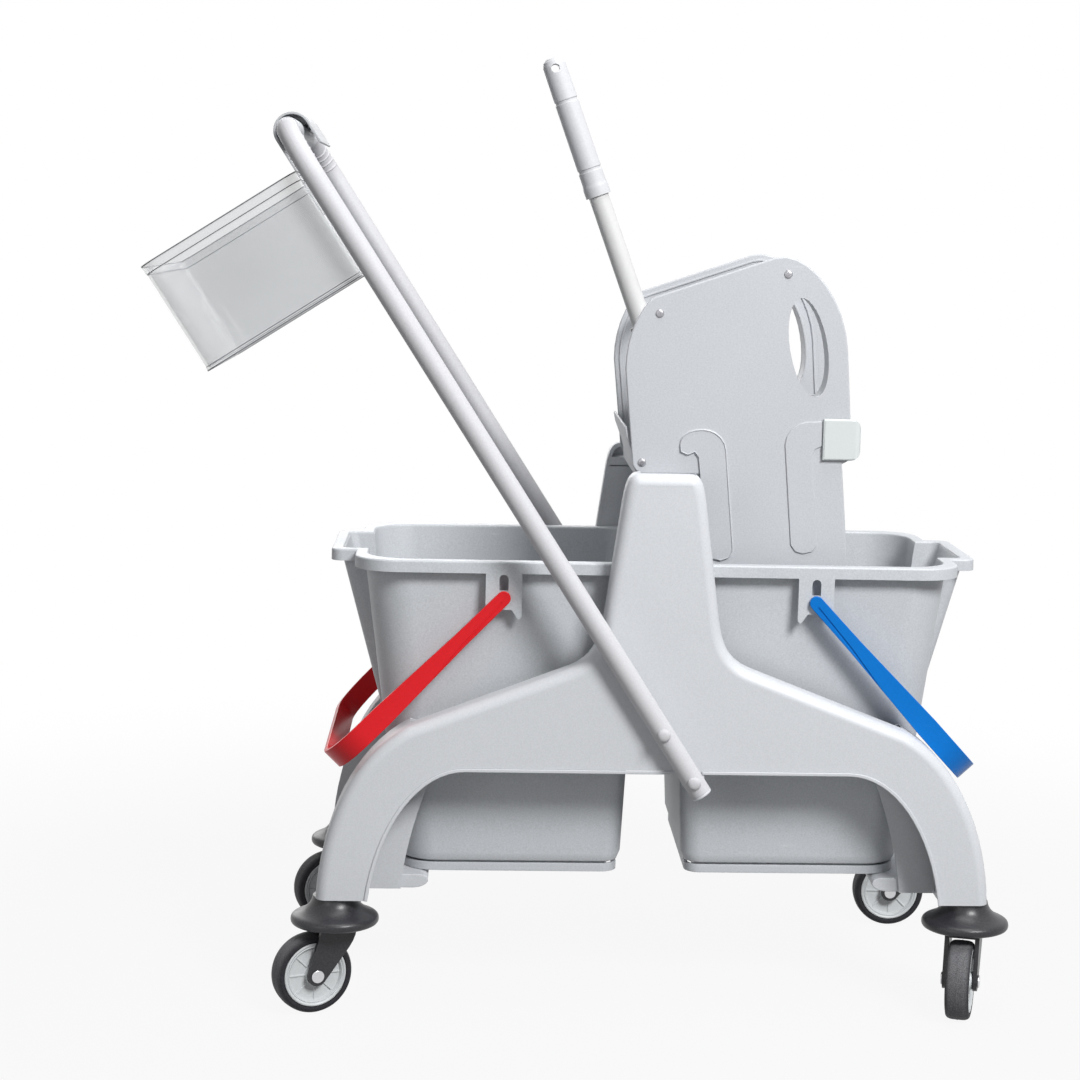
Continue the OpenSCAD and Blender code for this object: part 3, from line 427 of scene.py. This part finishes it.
def wear_tread(material, colour):
    """Mix a pale colour into a material where the point attribute "worn" is high."""
    t = material.node_tree
    shader = t.nodes["Principled BSDF"]
    plain = shader.inputs["Base Color"].links[0].from_socket
    worn = t.nodes.new("ShaderNodeAttribute")
    worn.attribute_name = "worn"
    coords = t.nodes.new("ShaderNodeTexCoord")
    blotch = t.nodes.new("ShaderNodeTexNoise")
    blotch.inputs["Scale"].default_value = 1000
    blotch.inputs["Detail"].default_value = 4
    spots = t.nodes.new("ShaderNodeMapRange")
    spots.inputs["From Min"].default_value = 0.2
    spots.inputs["From Max"].default_value = 0.8
    amount = t.nodes.new("ShaderNodeMath")
    amount.operation = "MULTIPLY"
    mixed = t.nodes.new("ShaderNodeMix")
    mixed.data_type = "RGBA"
    mixed.inputs[7].default_value = (*colour, 1)
    t.links.new(coords.outputs["Object"], blotch.inputs["Vector"])
    t.links.new(worn.outputs["Fac"], amount.inputs[0])
    t.links.new(blotch.outputs["Fac"], spots.inputs["Value"])
    t.links.new(spots.outputs["Result"], amount.inputs[1])
    t.links.new(amount.outputs[0], mixed.inputs[0])
    t.links.new(plain, mixed.inputs[6])
    t.links.new(mixed.outputs[2], shader.inputs["Base Color"])


wear_tread(TYRE, WORN_COLOUR)
print("smoke alpha", SMOKE_ALPHA)

# %% [markdown]
# ## Rounded copies
#
# A moulding has no sharp edge, and a rounded edge catches the light that makes its shape readable. A
# copy of a CAD node has its loose triangles merged, its flat faces joined, and its outer edges bevelled.
# The copy then stands for the node and rides on the same body. Hollow corners are left as they are.

# %% The rounding helpers
body_of = {n: b for b, members in frame["record"]["behaviour"]["bodies"].items() for n in members}
slot_of = {s["node"]: s["material_slot"] for s in frame["record"]["subparts"]}
WELD, TINY, FLAT_ANGLE = 2e-6, 1e-6, 0.5


def show(bm, name, material, body, stands_for=(), smooth=35):
    """Turn a bmesh into a piece that rides on a body and stands for CAD nodes."""
    mesh = bpy.data.meshes.new(name)
    for f in bm.faces:
        f.smooth = True
    for e in bm.edges:
        e.smooth = not (e.is_manifold and e.calc_face_angle(0) > math.radians(smooth))
    bm.to_mesh(mesh)
    bm.free()
    mesh.materials.append(material)
    obj = bpy.data.objects.new(name, mesh)
    scene.collection.objects.link(obj)
    flat = obj.modifiers.new("flat_faces_first", "WEIGHTED_NORMAL")
    flat.mode = "FACE_AREA"
    flat.weight = 100
    flat.keep_sharp = True
    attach(obj, body)
    if stands_for:
        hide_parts(*stands_for)
    return obj


def merged(node):
    """A bmesh copy of a CAD node with its triangles joined."""
    bm = bmesh.new()
    bm.from_mesh(nodes[node].data)
    bmesh.ops.remove_doubles(bm, verts=bm.verts, dist=WELD)
    bmesh.ops.dissolve_limit(bm, angle_limit=math.radians(FLAT_ANGLE), verts=bm.verts, edges=bm.edges)
    return bm


def middle(e):
    """Middle of an edge in trolley millimetres."""
    return millimetres((e.verts[0].co + e.verts[1].co) / 2)


def round_edges(bm, edges, radius, segments=4):
    """Round some edges by a radius in metres, whatever lies beside them."""
    bmesh.ops.bevel(bm, geom=edges, offset=radius, offset_type="OFFSET", segments=segments, profile=0.5,
                    affect="EDGES", clamp_overlap=False, material=-1)


def round_corners(bm, corners, radius):
    """Round some corners of a flat face by a radius in metres."""
    bmesh.ops.bevel(bm, geom=corners, offset=radius, offset_type="OFFSET", segments=8, profile=0.5,
                    affect="VERTICES", material=-1)


def hollow_out(bm, face, wide):
    """Inset a face and delete its middle, which leaves a ring."""
    ring = bmesh.ops.inset_region(bm, faces=[face], thickness=wide, use_boundary=True,
                                  use_even_offset=True)["faces"]
    bmesh.ops.delete(bm, geom=[face], context="FACES")
    return ring


def draw_out(bm, vec, faces=None, edges=None):
    """Extrude some faces or edges by a vector and turn the normals outward."""
    if edges:
        drawn = bmesh.ops.extrude_edge_only(bm, edges=edges)["geom"]
    else:
        drawn = bmesh.ops.extrude_face_region(bm, geom=faces)["geom"]
    lifted = [g for g in drawn if isinstance(g, bmesh.types.BMVert)]
    bmesh.ops.translate(bm, verts=lifted, vec=vec)
    bmesh.ops.recalc_face_normals(bm, faces=bm.faces)


def thicken(bm, thickness):
    """Give a sheet a thickness in metres and turn the normals outward."""
    bmesh.ops.solidify(bm, geom=bm.faces[:], thickness=thickness)
    bmesh.ops.recalc_face_normals(bm, faces=bm.faces)


def soften(bm, radius, segments=3, sharp=30, pick=None, least=0.0):
    """Bevel the outer edges that are sharper than an angle and longer than a least length, in millimetres."""
    chosen = [e for e in bm.edges
              if e.is_manifold and e.calc_face_angle_signed(0) > math.radians(sharp)
              and e.calc_length() > least / 1000 and (pick is None or pick(e))]
    bmesh.ops.bevel(bm, geom=chosen, offset=radius / 1000, offset_type="OFFSET", segments=segments,
                    profile=0.5, affect="EDGES", clamp_overlap=True, material=-1)


def rounded(node, material, radius, segments=3, sharp=30, least=0.0):
    """Replace a CAD node by a copy with its outer edges bevelled."""
    bm = merged(node)
    soften(bm, radius, segments, sharp, least=least)
    show(bm, node + "_look", material, body_of[node], [node])


def repaint(node, material):
    """Keep a CAD node as it is, with a better material."""
    mesh = nodes[node].data
    mesh.materials.clear()
    mesh.materials.append(material)


# %% [markdown]
# Every solid belongs to a material slot of the record, such as grey plastic or bright steel. Each one first
# gets the finish of its slot, so a solid that needs no rounding is done with this.

# %% A base coat for every node
look = {
    "grey_plastic": GREY, "hub_plastic": HUB, "dark_plastic": DARK, "tyre_rubber": TYRE,
    "bright_steel": ZINC, "handle_steel": TUBE, "lever_paint": PAINT, "dark_iron": IRON,
    "smoke_plastic": SMOKE, "clip_plastic": CLIP, "red_plastic": RED, "blue_plastic": BLUE,
}
for name in nodes:
    repaint(name, look[slot_of[name]])
print("painted", len(nodes))

# %% [markdown]
# ## The side frames
#
# Each side frame is one thin-walled moulding: an arch with two legs and a tower. On the real trolley its
# upper edge has a broad soft round, and its lower edge a narrow raised bead. The round is a wide bevel
# along the upper outline only. The bead is the lower outline itself, drawn out and given a thickness.
# Before that, the caster bosses in the legs are brought level with the wall that they stand out of.

# %% Round the frames and lay the beads
FRAME_FACE, TOUCH = 181, 0.05
LEG_Z, ARCH_TOP = 117.5, 254
UPPER_BOLT, LOWER_BOLT = (3, 292), (34, 244)
BOLT_REACH = {UPPER_BOLT: 12, LOWER_BOLT: 16}
ACROSS, ALONG, UPRIGHT, OUTWARD = 0.99, 0.1, 0.05, 1
OFF_MIDDLE = 10
UPPER_ROUND, UPPER_STEPS = 0.0115, 8
BEAD_TALL, BEAD_WIDE = 0.0016, 0.0036
BOSS_FROM, BOSS_TOP = 315, 200


def facing(e, plane):
    """The two faces at an edge in a plane across the trolley: the one in the plane and the one beside it."""
    if any(abs(abs(v.co.y - MID.y) * 1000 - plane) > TOUCH for v in e.verts):
        return None
    outer = [f for f in e.link_faces if abs(f.normal.y) > ACROSS]
    beside = [f for f in e.link_faces if abs(f.normal.y) < ALONG]
    return (outer[0], beside[0]) if outer and beside else None


def by_bolt(m):
    """Whether a place lies beside a bolt of the push handle."""
    return any(math.hypot(m.x - x, m.z - z) < far for (x, z), far in BOLT_REACH.items())


def is_upper(e):
    """An edge of the upper outline: tower, sloping arms and the outsides of the legs."""
    pair = facing(e, FRAME_FACE)
    if not pair or is_lower(e):
        return False
    n, m = pair[1].normal, middle(e)
    return not by_bolt(m) and (n.z > UPRIGHT or n.x * m.x > 0)


def is_lower(e):
    """An edge of the lower outline: the arch and the insides of the legs."""
    pair = facing(e, FRAME_FACE)
    if not pair:
        return False
    n, m = pair[1].normal, middle(e)
    return not by_bolt(m) and LEG_Z < m.z < ARCH_TOP and n.z < UPRIGHT and n.x * m.x < OUTWARD


def chain_copy(edges):
    """A new bmesh with copies of some edges, and these copies."""
    bm = bmesh.new()
    copy = {v: bm.verts.new(v.co) for e in edges for v in e.verts}
    return bm, [bm.edges.new([copy[v] for v in e.verts]) for e in edges]


def top_of_arch(face):
    """A number that is largest for the face at the top of the arch, in the middle of the frame."""
    centre = face.calc_center_median()
    return centre.z - OFF_MIDDLE * abs(centre.x - MID.x)


def outline_bead(edges, name, side):
    """A half round bead that follows some edges of a frame's outer plane."""
    bead, first = chain_copy(edges)
    draw_out(bead, (0, side * BEAD_TALL, 0), edges=first)
    crown = max(bead.faces, key=top_of_arch)
    inward = -1 if crown.normal.z < 0 else 1
    thicken(bead, BEAD_WIDE * inward)
    soften(bead, 1.2, 3, 40)
    show(bead, name, GREY, "chassis")


def flush_bosses(bm):
    """Bring the caster bosses inside the legs level with the outer wall of the leg."""
    places = {v: millimetres(v.co) for v in bm.verts}
    wall = sorted((p.z, abs(p.x)) for p in places.values()
                  if abs(abs(p.y) - FRAME_FACE) < TOUCH and abs(p.x) > BOSS_FROM)
    count = 0
    for v, p in places.items():
        for (z0, x0), (z1, x1) in zip(wall, wall[1:]):
            if abs(p.x) > BOSS_FROM and z1 > z0 and z0 <= p.z <= z1 and z1 < BOSS_TOP:
                flush = x0 + (x1 - x0) * (p.z - z0) / (z1 - z0)
                if abs(p.x) > flush + TOUCH:
                    v.co.x = MID.x + math.copysign(flush / 1000, p.x)
                    count += 1
                break
    bmesh.ops.dissolve_degenerate(bm, dist=TINY, edges=bm.edges)
    return count


for node, side in (("side_frame_near", -1), ("side_frame_far", 1)):
    bm = merged(node)
    print(node, "boss points brought level:", flush_bosses(bm))
    lower = [e for e in bm.edges if is_lower(e)]
    upper = [e for e in bm.edges if is_upper(e)]
    outline_bead(lower, node + "_bead", side)
    round_edges(bm, upper, UPPER_ROUND, UPPER_STEPS)
    soften(bm, 1.0, 2, 40, lambda e: not is_upper(e))
    loose = sum(not e.is_manifold for e in bm.edges)
    show(bm, node + "_look", GREY, body_of[node], [node])
    print(node, "upper edges", len(upper), "lower edges", len(lower), "open edges", loose)

# %% [markdown]
# The hollow of each tower is closed on the bucket side by a flat cover, so that no water runs into the
# frame. It is one outline with a thickness, set just inside the open edge.

# %% Cover the towers
COVER_Y, COVER_THICK = 152.6, 0.002
COVER_HALF = [(38, 521), (40, 497), (52, 410), (60, 380), (66, 362), (66, 330)]
for side, name in ((-1, "tower_cover_near"), (1, "tower_cover_far")):
    bm = bmesh.new()
    outline = COVER_HALF + [(-x, z) for x, z in reversed(COVER_HALF)]
    cover = bm.faces.new([bm.verts.new(point(x, side * COVER_Y, z)) for x, z in outline])
    draw_out(bm, (0, side * COVER_THICK, 0), faces=[cover])
    soften(bm, 0.5, 2, 40)
    show(bm, name, GREY, "chassis")
print("tower covers: 2, outline points:", len(outline))

# %% [markdown]
# ## Walls and rails of the chassis
#
# A wall stands between the buckets and a rail crosses under the outer end of each. They are plain
# mouldings, so a small round on their edges is all they need.

# %% Round the wall and the rails
for node in ("centre_wall", "deck_rail_red", "deck_rail_blue"):
    rounded(node, GREY, 1.0, 3)
print("walls and rails rounded")

# %% [markdown]
# ## Wheels
#
# A caster wheel is a pale plastic hub with a rubber tyre moulded round it. Both are round about the
# axle, so each is one profile, given as radius and half width, mirrored and spun. The hub gets a bright
# lip, a shallow dish and low spokes. The tyre gets a soft shoulder and the fine seam of its mould.

# %% Spin the hubs and tyres
HEADING = {"nl": 204, "nr": 253, "fl": 200, "fr": 180}
HUB_PROFILE = [
    (4.1, 12.5), (8.4, 12.5), (9.1, 12.0), (9.5, 8.7), (10.4, 8.0), (24.0, 7.6), (26.2, 8.3), (27.4, 10.5),
    (28.2, 11.1), (29.0, 10.5), (29.7, 11.4), (30.8, 11.9), (31.9, 11.6), (32.3, 10.9), (30.9, 10.3),
]
TYRE_PROFILE = [
    (31.0, 10.1), (32.7, 10.5), (33.2, 11.4), (35.0, 12.0), (36.9, 11.6), (38.4, 10.2), (39.4, 7.8),
    (39.7, 5.0), (39.75, 0.8), (40.0, 0.45),
]
SPOKES, SPOKE_AT, SPOKE_SIZE = 8, 0.0175, (0.018, 0.0178, 0.0017)
WORN_FROM, WORN_OVER = 0.0376, 0.0018


def spin_profile(bm, profile, steps=80):
    """Mirror a profile of radius and half width in millimetres and spin it round the Y axis."""
    ring = profile + [(r, -y) for r, y in reversed(profile)]
    points = [bm.verts.new((r / 1000, y / 1000, 0)) for r, y in ring]
    edges = [bm.edges.new(pair) for pair in zip(points, points[1:] + points[:1])]
    bmesh.ops.spin(bm, geom=points + edges, cent=(0, 0, 0), axis=(0, 1, 0), angle=math.tau, steps=steps,
                   use_merge=True)
    bmesh.ops.remove_doubles(bm, verts=bm.verts, dist=TINY)
    bmesh.ops.recalc_face_normals(bm, faces=bm.faces)


def on_axle(corner):
    """Brings a wheel drawn round Y at the origin onto its axle."""
    low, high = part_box("axle_" + corner)
    return Matrix.Translation((low + high) / 2) @ Matrix.Rotation(math.radians(HEADING[corner]), 4, "Z")


for corner in HEADING:
    hub = bmesh.new()
    for k in range(SPOKES):
        turn = Matrix.Rotation(math.radians(360 / SPOKES * k), 4, "Y")
        size = Matrix.Diagonal((*SPOKE_SIZE, 1))
        bmesh.ops.create_cube(hub, size=1, matrix=turn @ Matrix.Translation((SPOKE_AT, 0, 0)) @ size)
    soften(hub, 0.5, 2)
    spin_profile(hub, HUB_PROFILE)
    bmesh.ops.transform(hub, matrix=on_axle(corner), verts=hub.verts)
    show(hub, "hub_look_" + corner, HUB, body_of["hub_" + corner], ["hub_" + corner])
    tyre = bmesh.new()
    spin_profile(tyre, TYRE_PROFILE)
    worn = tyre.verts.layers.float.new("worn")
    for v in tyre.verts:
        v[worn] = min(1, max(0, (math.hypot(v.co.x, v.co.z) - WORN_FROM) / WORN_OVER))
    bmesh.ops.transform(tyre, matrix=on_axle(corner), verts=tyre.verts)
    show(tyre, "tyre_look_" + corner, TYRE, body_of["tyre_" + corner], ["tyre_" + corner])
print("wheels:", len(HEADING), "profile points:", len(HUB_PROFILE), len(TYRE_PROFILE))

# %% [markdown]
# ## Forks, axles and bumpers
#
# Dark plastic forks hold the wheels, with a bright rivet as the axle. Above each fork lies a saucer that
# keeps the trolley off walls. These are copies of the solids with the round edges of a moulding.

# %% Round the caster parts
for corner in HEADING:
    rounded("fork_" + corner, DARK, 1.4, 3, 40)
    rounded("axle_" + corner, ZINC, 0.9, 3, 40)
rounded("bumper_discs", DARK, 0.8, 2, 40)
print("caster parts rounded")

# %% [markdown]
# ## Buckets
#
# The buckets are deep drawn-in mouldings with a turned-down rim, a pouring bay and a ring foot. The rim
# catches most light, so its top edge has a broader round than the rest. The hollow corner between wall
# and rim stays sharp, as in the tool. A narrow rail round the foot is a flat outline with rounded
# corners, hollowed out and drawn upward.

# %% Round the buckets and their bails
RIM_TOP, EAR_LOW, FOOT_HIGH = 453, 380, 134
FOOT_SIDE = {"bucket_red": -1, "bucket_blue": 1}
FOOT_CORNERS = ((35, -116), (254, -116), (254, 116), (35, 116))
FOOT_Z, FOOT_WIDE, FOOT_TALL = 131.2, 0.004, 0.0085
FOOT_OUT_ROUND, FOOT_IN_ROUND = 0.034, 0.016

for node, side in FOOT_SIDE.items():
    bm = merged(node)
    soften(bm, 2.0, 4, 40, lambda e: middle(e).z > RIM_TOP)
    soften(bm, 0.7, 2, 50, lambda e: middle(e).z > EAR_LOW)
    soften(bm, 0.7, 2, 50, lambda e: middle(e).z < FOOT_HIGH)
    show(bm, node + "_look", BUCKET, body_of[node], [node])
    ring = bmesh.new()
    corners = [ring.verts.new(point(side * x, y, FOOT_Z)) for x, y in FOOT_CORNERS]
    ring.faces.new(corners)
    round_corners(ring, corners[1:3], FOOT_OUT_ROUND)
    round_corners(ring, [corners[0], corners[3]], FOOT_IN_ROUND)
    hollow_out(ring, ring.faces[:][0], FOOT_WIDE)
    draw_out(ring, (0, 0, FOOT_TALL), faces=ring.faces[:])
    soften(ring, 0.8, 2, 50)
    show(ring, node + "_foot", BUCKET, body_of[node])
rounded("bail_red", RED, 1.3, least=1.6)
rounded("bail_blue", BLUE, 1.3, least=1.6)
print("buckets and bails rounded")

# %% [markdown]
# ## Push handle
#
# The handle is one painted steel tube. Where a tube is bent, the metal on the inside of the bend is
# squeezed together and wrinkles. Each wrinkle is a small circle spun part way round the tube.

# %% Wrinkles in the bends
TUBE_R, TUBE_Y, BEND_R, HANDLE_LEN = 10.5, 191.5, 55.0, 692.0
LEAN = math.radians(33)
WRINKLES = (20, 29, 38, 47)
WRINKLE_R, WRINKLE_SINK, WRINKLE_SPAN = 1.3, 0.4, 160
handle_foot = point(UPPER_BOLT[0], 0, UPPER_BOLT[1])
handle_place = Matrix.Translation(handle_foot) @ Matrix.Rotation(-LEAN, 4, "Y")

bm = bmesh.new()
for side in (-1, 1):
    for angle in WRINKLES:
        a = math.radians(angle)
        out = Vector((0, side * math.cos(a), math.sin(a)))
        along = Vector((0, -side * math.sin(a), math.cos(a)))
        centre = Vector((0, side * (TUBE_Y - BEND_R), HANDLE_LEN - BEND_R)) + BEND_R * out
        first = Matrix.Rotation(math.radians(-WRINKLE_SPAN / 2), 3, along) @ -out
        spot = centre + (TUBE_R - WRINKLE_SINK) * first
        flat = Matrix((first, along, first.cross(along))).transposed().to_4x4()
        flat.translation = spot / 1000
        ring = bmesh.ops.create_circle(bm, segments=10, radius=WRINKLE_R / 1000, matrix=flat)["verts"]
        edges = list(dict.fromkeys(e for v in ring for e in v.link_edges))
        bmesh.ops.spin(bm, geom=ring + edges, cent=centre / 1000, axis=along,
                       angle=math.radians(WRINKLE_SPAN), steps=16)
bmesh.ops.holes_fill(bm, edges=[e for e in bm.edges if e.is_boundary], sides=12)
bmesh.ops.remove_doubles(bm, verts=bm.verts, dist=TINY)
bmesh.ops.recalc_face_normals(bm, faces=bm.faces)
bmesh.ops.transform(bm, matrix=handle_place, verts=bm.verts)
show(bm, "handle_wrinkles", TUBE, "chassis", smooth=60)
rounded("handle_plugs", GREY, 1.0, 3, 40)
rounded("handle_bolts", TUBE, 0.8, 3, 40)
print("wrinkles in each bend:", len(WRINKLES))

# %% [markdown]
# ## Storage box and its hanger
#
# The box is thin clear plastic and hangs from the cross bar by one broad grey hanger. Its edges carry
# most of its look, because the eye looks along the wall there, and there they look dark. They get small
# rounds, and four thin dark lines of painted shade run round the rim and the heel.

# %% Round the box and the hanger, with painted shade lines on the box
BOX_IN, BOX_OUT, BOX_HALF, BOX_CORNER = 14.0, 189.0, 174.0, 18.0
SHADE_LINE_WIDE = 0.0014
PAINTED_SHADE_LINES = {
    "rim": (651.2, 1.1, 1.2), "under_rim": (642.4, 0.2, 0.9),
    "heel": (533.9, 0.9, 1.3), "low": (538.0, 0.2, 0.7),
}


def painted_shade_line(start, out, tall, name):
    """A line of painted shade round the box, from a distance along the handle, standing out from the wall."""
    bm = bmesh.new()
    a, b, half = -BOX_OUT - out, -BOX_IN + out, BOX_HALF + out
    outline = ((a, -half), (b, -half), (b, half), (a, half))
    corners = [bm.verts.new(Vector((x, y, start)) / 1000) for x, y in outline]
    bm.faces.new(corners)
    round_corners(bm, corners, (BOX_CORNER + out) / 1000)
    hollow_out(bm, bm.faces[:][0], SHADE_LINE_WIDE)
    draw_out(bm, (0, 0, tall / 1000), faces=bm.faces[:])
    bmesh.ops.transform(bm, matrix=handle_place, verts=bm.verts)
    show(bm, name, EDGE_SHADE, body_of["storage_box"])


rounded("storage_box", SMOKE, 0.8, 2, 50)
# Each of these lines is painted shade along an edge of the box, where the wall is seen edge-on.
for name, (start, out, tall) in PAINTED_SHADE_LINES.items():
    painted_shade_line(start, out, tall, "painted_shade_line_" + name)
rounded("box_hooks", HANGER, 0.8, 2, 40)
print("box and hanger rounded, lines:", len(PAINTED_SHADE_LINES))

# %% [markdown]
# ## Wringer
#
# Two side plates hold the press between them. On its inner face each plate has a thin rib that follows
# the outline and stiffens it. The outline is filled as one face and inset twice, and the ring between the
# two insets is drawn out and rounded. A sleeve lines each hand hole, and a crescent widens the far plate's
# edge where the hole shows it.

# %% Plates with a stiffening rib
RIB_IN, RIB_WIDE, RIB_TALL = 0.0055, 0.0024, 0.0017
COLLAR_AT, COLLAR_TURN, COLLAR_HALF = (146, 102, 670), 11, (0.0191, 0.0506, 1)
COLLAR_DEEP, COLLAR_WALL = 0.03, 0.0024
BAND_FROM, BAND_TO, BAND_LEFT = 600.0, 731.6, 160.0
BAND_WIDE, BAND_LAP, BAND_PROUD, BAND_CUTS = 0.0092, 0.003, 0.0001, 5
PLATE_IN, PLATE_OUT, CANE_FACE, CLIP_FACE = 100, 105, 106.6, 109.6
EDGE_ROUND, CANE_ROUND, CLIP_ROUND = 0.0017, 0.0009, 0.0022


def reach(loop):
    """How far a chain of points stretches along the trolley."""
    return max(v.co.x for v in loop) - min(v.co.x for v in loop)


def widest_loop(edges):
    """The points, in order, of the widest closed chain among some edges."""
    beside = {}
    for e in edges:
        for v in e.verts:
            beside.setdefault(v, []).append(e.other_vert(v))
    best = []
    while beside:
        start = next(iter(beside))
        loop, here = [start], start
        while True:
            onward = [v for v in beside.get(here, []) if v in beside and v not in loop]
            if not onward:
                break
            here = onward[0]
            loop.append(here)
        for v in loop:
            beside.pop(v, None)
        best = max(best, loop, key=reach) if best else loop
    return best


def outline_of(plate, plane):
    """The edges of a plate's outline in one of its two faces."""
    edges = [e for e in plate.edges if facing(e, plane)]
    loop = set(widest_loop(edges))
    return [e for e in edges if loop.issuperset(e.verts)]


def outline_rib(plate, inner, side, name):
    """A raised ring on the inner face of a wringer plate, set in from its outline."""
    edges = [e for e in plate.edges if facing(e, inner)]
    loop = widest_loop(edges)
    rib = bmesh.new()
    face = rib.faces.new([rib.verts.new(v.co) for v in loop])
    face.normal_update()
    bmesh.ops.inset_region(rib, faces=[face], thickness=RIB_IN, use_boundary=True, use_even_offset=True)
    around = [f for f in rib.faces if f != face]
    bmesh.ops.delete(rib, geom=around, context="FACES")
    ring = hollow_out(rib, face, RIB_WIDE)
    draw_out(rib, (0, -side * RIB_TALL, 0), faces=ring)
    soften(rib, 0.7, 2, 40)
    print(name, "loop points", len(loop), "reach", round(reach(loop), 3))
    show(rib, name, PLATE, "wringer")


def hand_collar(side, name):
    """A short sleeve behind the hand hole of a plate, so that the hand meets no thin edge."""
    ring = bmesh.new()
    bmesh.ops.create_circle(ring, radius=1, segments=48)
    bmesh.ops.scale(ring, vec=COLLAR_HALF, verts=ring.verts)
    tilt = Matrix.Rotation(math.radians(90), 4, "X") @ Matrix.Rotation(math.radians(COLLAR_TURN), 4, "Z")
    x, y, z = COLLAR_AT
    bmesh.ops.transform(ring, matrix=Matrix.Translation(point(x, side * y, z)) @ tilt, verts=ring.verts)
    draw_out(ring, (0, -side * COLLAR_DEEP, 0), edges=ring.edges[:])
    thicken(ring, -COLLAR_WALL)
    soften(ring, 0.7, 2, 50)
    show(ring, name, PLATE, "wringer")


def edge_band(plate, side, name):
    """A crescent that widens the edge of a plate beside the hand hole."""
    edges = [e for e in outline_of(plate, PLATE_IN)
             if BAND_FROM < middle(e).z < BAND_TO and middle(e).x > BAND_LEFT]
    band, first = chain_copy(edges)
    bmesh.ops.subdivide_edges(band, edges=first, cuts=BAND_CUTS)
    drawn = bmesh.ops.extrude_edge_only(band, edges=band.edges[:])["geom"]
    outer = {g for g in drawn if isinstance(g, bmesh.types.BMVert)}
    for v in band.verts:
        along = (v.co.z * 1000 - BAND_FROM) / (BAND_TO - BAND_FROM)
        v.co.x += BAND_WIDE * math.sin(math.pi * along) if v in outer else -BAND_LAP
        v.co.y -= side * BAND_PROUD
    thick = (PLATE_OUT - PLATE_IN) / 1000 + 2 * BAND_PROUD
    draw_out(band, (0, side * thick, 0), faces=band.faces[:])
    soften(band, 0.8, 3, 50)
    print(name, "outermost", round((max(v.co.x for v in band.verts) - MID.x) * 1000, 1))
    show(band, name, PLATE, "wringer")


for node, side in (("wringer_plate_near", -1), ("wringer_plate_far", 1)):
    bm = merged(node)
    outline_rib(bm, PLATE_IN, side, node + "_rib")
    hand_collar(side, node + "_collar")
    if side > 0:
        edge_band(bm, side, node + "_band")
    for plane in (PLATE_IN, PLATE_OUT):
        round_edges(bm, outline_of(bm, plane), EDGE_ROUND)
    round_edges(bm, [e for e in bm.edges if facing(e, CANE_FACE)], CANE_ROUND)
    show(bm, node + "_look", PLATE, body_of[node], [node])

# %% [markdown]
# Between the plates sits the press itself, with its slotted panels, the dark yoke that pushes them, and
# the brackets that stand in the towers. White clips grip the plate edges, and bright screws hold the tie
# bars. A thin splash sheet closes the side toward the lever.

# %% The press, its fittings and the splash sheet
SHEET = [(-35, 587), (-33, 577), (-26.5, 560), (-23.5, 548), (-22.5, 536)]
SHEET_THICK = 0.0022

for node in ("fixed_jaw", "moving_jaw", "sieve_floor", "wringer_feet"):
    rounded(node, PLATE, 0.6, 2)
bm = merged("edge_clips")
round_edges(bm, [e for e in bm.edges if facing(e, CLIP_FACE)], CLIP_ROUND)
show(bm, "edge_clips_look", CLIP, body_of["edge_clips"], ["edge_clips"])
rounded("wringer_screws", SCREW, 0.25, 2, 40)
rounded("lever_yoke", IRON, 1.0, 2, 40)

bm = bmesh.new()
points = [bm.verts.new(point(x, -PLATE_IN, z)) for x, z in SHEET]
edges = [bm.edges.new(pair) for pair in zip(points, points[1:])]
draw_out(bm, (0, 2 * PLATE_IN / 1000, 0), edges=edges)
thicken(bm, SHEET_THICK)
soften(bm, 0.6, 2, 40)
show(bm, "splash_sheet", PLATE, "wringer", smooth=50)
print("press rounded, sheet bends:", len(SHEET))

# %% [markdown]
# ## Lever
#
# The lever is a white tube with a moulded grip. The grip's rings and its wide collar are in the solid
# already, so soft edges and a fine matt grain finish it.

# %% Round the grip
rounded("lever_grip", GRIP, 0.8, 3, 25)
print("grip rounded")
